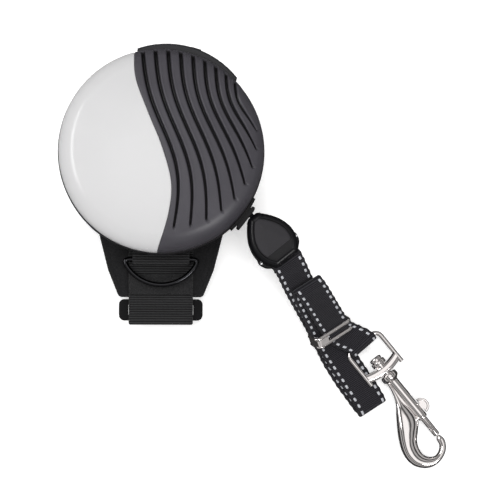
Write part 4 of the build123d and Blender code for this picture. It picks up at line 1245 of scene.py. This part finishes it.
def rivet():
    profile = [(8.2, 0.05), (8.22, 2.3), (8.4, 2.75), (8.8, 2.95), (9.6, 2.95), (9.75, 2.6), (10.05, 2.6),
               (10.15, 3.2), (10.4, 3.45), (10.7, 3.5), (12.0, 3.5), (12.3, 3.35), (12.5, 3.0),
               (12.55, 1.98), (19.4, 1.98)]
    points, faces = lathe(profile)
    chrome_piece("rivet_head", points, faces, "snap", "swivel_rivet")


STATIONS = (
    # outer (x, y), inner (x, y), half thickness
    (21.5, -3.1, 21.6, -1.9, 1.0), (24.5, -3.5, 24.9, -2.0, 0.95), (28.0, -4.5, 28.6, -2.3, 0.95),
    (31.5, -6.2, 32.4, -2.6, 1.2), (34.5, -8.6, 36.6, -1.9, 2.0), (37.8, -11.0, 40.6, -1.8, 2.6),
    (41.6, -13.6, 44.0, -3.0, 2.9), (45.8, -16.0, 47.2, -6.0, 3.0), (50.0, -17.7, 50.2, -9.0, 2.9),
    (54.0, -18.3, 53.8, -10.7, 2.75), (58.0, -17.6, 57.0, -10.9, 2.6), (61.3, -15.4, 59.4, -9.6, 2.45),
    (63.6, -12.3, 60.6, -7.8, 2.3), (64.4, -8.8, 60.9, -6.4, 2.1), (63.8, -4.6, 60.2, -4.2, 2.0),
    (61.9, -1.2, 58.8, -2.5, 1.9), (58.7, 1.0, 57.0, -1.8, 1.8), (54.6, 1.6, 54.5, -1.6, 1.6),
)


def hook():
    table = np.array(STATIONS)
    dense = smooth_curve(table[:, :4], 110)
    thick = np.interp(np.linspace(0, 1, 110), np.linspace(0, 1, len(table)), table[:, 4])
    thick = smoothed(thick, 7)
    rows = []
    sides = 28
    for k in range(len(dense)):
        outer = np.array((dense[k][0], dense[k][1], 0.0))
        inner = np.array((dense[k][2], dense[k][3], 0.0))
        centre = (outer + inner) / 2
        half = np.linalg.norm(outer - inner) / 2
        way = unit(inner - outer)
        tip = min(k, len(dense) - 1 - k)
        close = 1.0 if k < 20 else min(1.0, (tip + 0.6) / 4.0) ** 0.5
        ring = []
        for a in np.linspace(0, 2 * math.pi, sides, endpoint=False):
            ca, sa = math.cos(a), math.sin(a)
            x = half * close * ca
            # The section is a drop: full on the outside and thinner towards the inside.
            z = thick[k] * close * sa * (1 - 0.22 * ca)
            ring.append(centre + way * x + np.array((0, 0, z)))
        rows.append(ring)
    points = np.array(rows).reshape(-1, 3)
    faces = grid_faces(len(rows), sides, wrap_columns=True)
    faces += [tuple(range(sides)), tuple(range((len(rows) - 1) * sides, len(rows) * sides))]
    return points, faces


SLOT_BACK = 31.2
SLOT_FRONT = 41.6


def barrel():
    """The tube that the bolt slides in, with a slot for its stud."""
    r_out, r_in = 2.35, 1.62
    slot = math.asin(1.0 / r_out)
    around = np.concatenate([np.linspace(slot, 2 * math.pi - slot, 45),
                             np.linspace(2 * math.pi - slot, 2 * math.pi + slot, 7)[1:-1]])
    along = [18.9, 20.0, 22.0, 26.0, SLOT_BACK, 34.0, 36.0, 39.0, SLOT_FRONT, 43.4, 44.0]
    points = []
    for radius in (r_out, r_in):
        for x in along:
            shrink = 0.25 if (x == 44.0 and radius == r_out) else 0.0
            for a in around:
                points.append((x, (radius - shrink) * math.cos(a), (radius - shrink) * math.sin(a)))
    n = len(around)
    layer = len(along) * n
    faces = []

    def open_at(i, j):
        return SLOT_BACK <= along[i] and along[i + 1] <= SLOT_FRONT and j >= 44

    for i in range(len(along) - 1):
        for j in range(n):
            m = (j + 1) % n
            if open_at(i, j):
                continue
            faces.append((i * n + j, i * n + m, (i + 1) * n + m, (i + 1) * n + j))
            faces.append((layer + i * n + j, layer + (i + 1) * n + j, layer + (i + 1) * n + m,
                          layer + i * n + m))
    for i in (0, len(along) - 1):
        for j in range(n):
            m = (j + 1) % n
            faces.append((i * n + j, i * n + m, layer + i * n + m, layer + i * n + j))
    low, high = along.index(SLOT_BACK), along.index(SLOT_FRONT)
    for i in range(low, high):
        for j in (44, 0):
            faces.append((i * n + j, (i + 1) * n + j, layer + (i + 1) * n + j, layer + i * n + j))
    for i in (low, high):
        for j in range(44, n):
            m = (j + 1) % n
            faces.append((i * n + j, i * n + m, layer + i * n + m, layer + i * n + j))
    return np.array(points), faces


def snap_body():
    collar = lathe([(17.9, 2.1), (17.95, 3.5), (18.2, 3.95), (18.8, 4.1), (20.0, 4.1), (20.5, 3.9),
                    (21.0, 3.3), (21.6, 2.6), (21.9, 2.3)])
    # A thin web fills the corner between the cast arm and the barrel.
    web = []
    for x, outside in ((24.0, -2.2), (28.0, -3.2), (32.0, -4.2), (36.0, -6.0), (40.0, -8.0), (43.0, -8.4)):
        for y, z in ((outside, 0.7), (-1.9, 0.7), (-1.9, -0.7), (outside, -0.7)):
            web.append((x, y, z))
    fill = (np.array(web), grid_faces(6, 4, wrap_columns=True) + [(0, 1, 2, 3), (20, 21, 22, 23)])
    points, faces = joined(hook(), barrel(), collar, fill)
    chrome_piece("hook_casting", points, faces, "snap", "snap_hook")


def bolt():
    profile = [(30.2, 0.05), (30.25, 1.3), (30.45, 1.48), (53.4, 1.48), (53.9, 1.3), (54.2, 0.9),
               (54.25, 0.05)]
    points, faces = lathe(profile, 32)
    chrome_piece("bolt_rod", points, faces, "bolt", "snap_bolt")


def stud():
    """A half-round thumb piece with a raised rim, on a short stem."""
    rows = []
    steps = np.linspace(0, math.pi, 25)
    for a in steps:
        ring = []
        for r, z in ((0.15, 0.7), (2.3, 0.7), (2.5, 0.95), (3.1, 1.05), (3.4, 0.8), (3.4, -0.8),
                     (3.1, -1.05), (2.5, -0.95), (2.3, -0.7), (0.15, -0.7)):
            ring.append((39.1 + 1.08 * r * math.cos(a), 2.95 + 1.05 * r * math.sin(a), z))
        rows.append(ring)
    wheel = (np.array(rows).reshape(-1, 3),
             grid_faces(len(rows), 10, wrap_columns=True) + [tuple(range(10)), tuple(range(240, 250))])
    stem = []
    for y in (1.1, 2.4, 3.2, 3.9):
        grow = 0.35 * (y > 3)
        for x, z in ((37.7 - grow, 0.72), (40.5 + grow, 0.72), (40.5 + grow, -0.72), (37.7 - grow, -0.72)):
            stem.append((x, y, z))
    post = (np.array(stem), grid_faces(4, 4, wrap_columns=True) + [(0, 1, 2, 3), (12, 13, 14, 15)])
    points, faces = joined(wheel, post)
    chrome_piece("thumb_piece", points, faces, "bolt", "thumb_stud")


# ---- springs ----------------------------------------------------------------------------------------
BRAKE_DIR = 74.0
SPRING_ANGLES = (BRAKE_DIR - 19.0, BRAKE_DIR + 19.0)
BRAKE_SPRING = (39.7, 44.3)          # where a spring starts and ends, from the drum's axis
BOLT_SPRING = (22.2, 30.1)           # the same along the snap


def coil(start, end, radius, wire, turns):
    """A helical spring along X, its end turns closed up."""
    t = np.linspace(0, 1, int(turns * 20) + 1)
    along = start + wire + (end - start - 2 * wire) * smoothed(np.clip((t - 0.1) / 0.8, 0, 1), 9)
    a = 2 * math.pi * turns * t
    line = np.column_stack([along, radius * np.cos(a), radius * np.sin(a)])
    return swept(line, wire, 8)


def springs():
    """The bolt's spring and the two under the brake button."""
    back, front = BOLT_SPRING
    points, faces = coil(back, front, 1.1, 0.2, 7)
    obj = solid_piece("bolt_coil", "bolt_spring", in_snap(points), faces, "snap", "spring_steel")
    anchor = in_snap([(back, 0, 0)])[0] * MM
    way = in_snap([(back + 1, 0, 0)])[0] * MM - anchor
    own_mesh(obj)
    coils = []
    for degrees in SPRING_ANGLES:
        points, faces = coil(*BRAKE_SPRING, 1.55, 0.3, 5)
        coils.append((framed(points, (0, 0, CORD_Z), degrees), faces))
    points, faces = joined(*coils)
    obj = solid_piece("brake_coils", "brake_springs", points, faces, "case", "spring_steel")
    spread = math.radians((SPRING_ANGLES[1] - SPRING_ANGLES[0]) / 2)
    way = framed([(1, 0, 0)], (0, 0, 0), BRAKE_DIR)[0]
    anchor = framed([(BRAKE_SPRING[0] * math.cos(spread), 0, 0)], (0, 0, CORD_Z), BRAKE_DIR)[0] * MM
    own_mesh(obj)


# ---- slide buckle -----------------------------------------------------------------------------------
SLIDE_AT = 36.5      # how far along the folded strap it sits
SLIDE_HALF = 9.55


def slide():
    """A slide of polished strip: two bars over the strap, and ends that wrap round it."""
    x0, z0 = on_slope(SLIDE_AT, PITCH)
    lean = math.degrees(SLOPE)
    turn = (Matrix.Rotation(math.radians(STRAP_DIR), 3, "Z") @ Matrix.Rotation(math.radians(lean), 3, "Y")
            @ Matrix.Rotation(math.radians(-rolled(SLIDE_AT)), 3, "X")
            @ Matrix.Rotation(math.radians(-9.0), 3, "Z"))
    origin = framed([(x0, 1.5, z0)], STRAP_AT, STRAP_DIR)[0]
    half = SLIDE_HALF
    top = PITCH + STRAP_T / 2 + 1.15
    low = -top
    parts = []
    for x in (-2.15, 2.15):
        line = evenly(rounded_corners([(x, -half, low + 1.4), (x, -half, top), (x, half, top),
                                       (x, half, low + 1.4)], [0, 1.5, 1.5, 0], 0.15, closed=False), 90)
        parts.append(swept(line, 1.0, 16))
    # The strip starts over the strap's edge, wraps down its side and runs underneath.
    plate = rounded_corners([(-half + 5.6, top + 0.25), (-half - 0.05, top + 0.25), (-half - 0.05, low),
                             (half + 0.05, low), (half + 0.05, top - 1.2)], [0, 1.3, 1.5, 1.5, 0], 0.15,
                            closed=False)
    path = np.column_stack([np.zeros(len(plate)), plate])
    points, faces, *_ = strap_mesh(path, (1.0, 0, 0), 6.0, 1.0, 0.3, across=6)
    parts.append((points, faces))
    points, faces = joined(*parts)
    placed = np.asarray(points) @ np.array(turn).T + origin
    obj = make_piece("slide_strip", placed, faces, "buckle", "chrome_metal")
    weld_out(obj)
    obj.data.set_sharp_from_angle(angle=SHARP)
    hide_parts("slide_buckle")


# ---- making -----------------------------------------------------------------------------------------
make_camera()
make_stage()
finish_cad_nodes()
ribbed_grip()
white_cover()
wrist_webbing()
wrist_padding()
fuzzy_patch()
keeper_tab()
ring_tab()
dark_ring()
lead_strap()
lead_cord()
pod()
snap_eye()
rivet()
snap_body()
bolt()
stud()
springs()
slide()
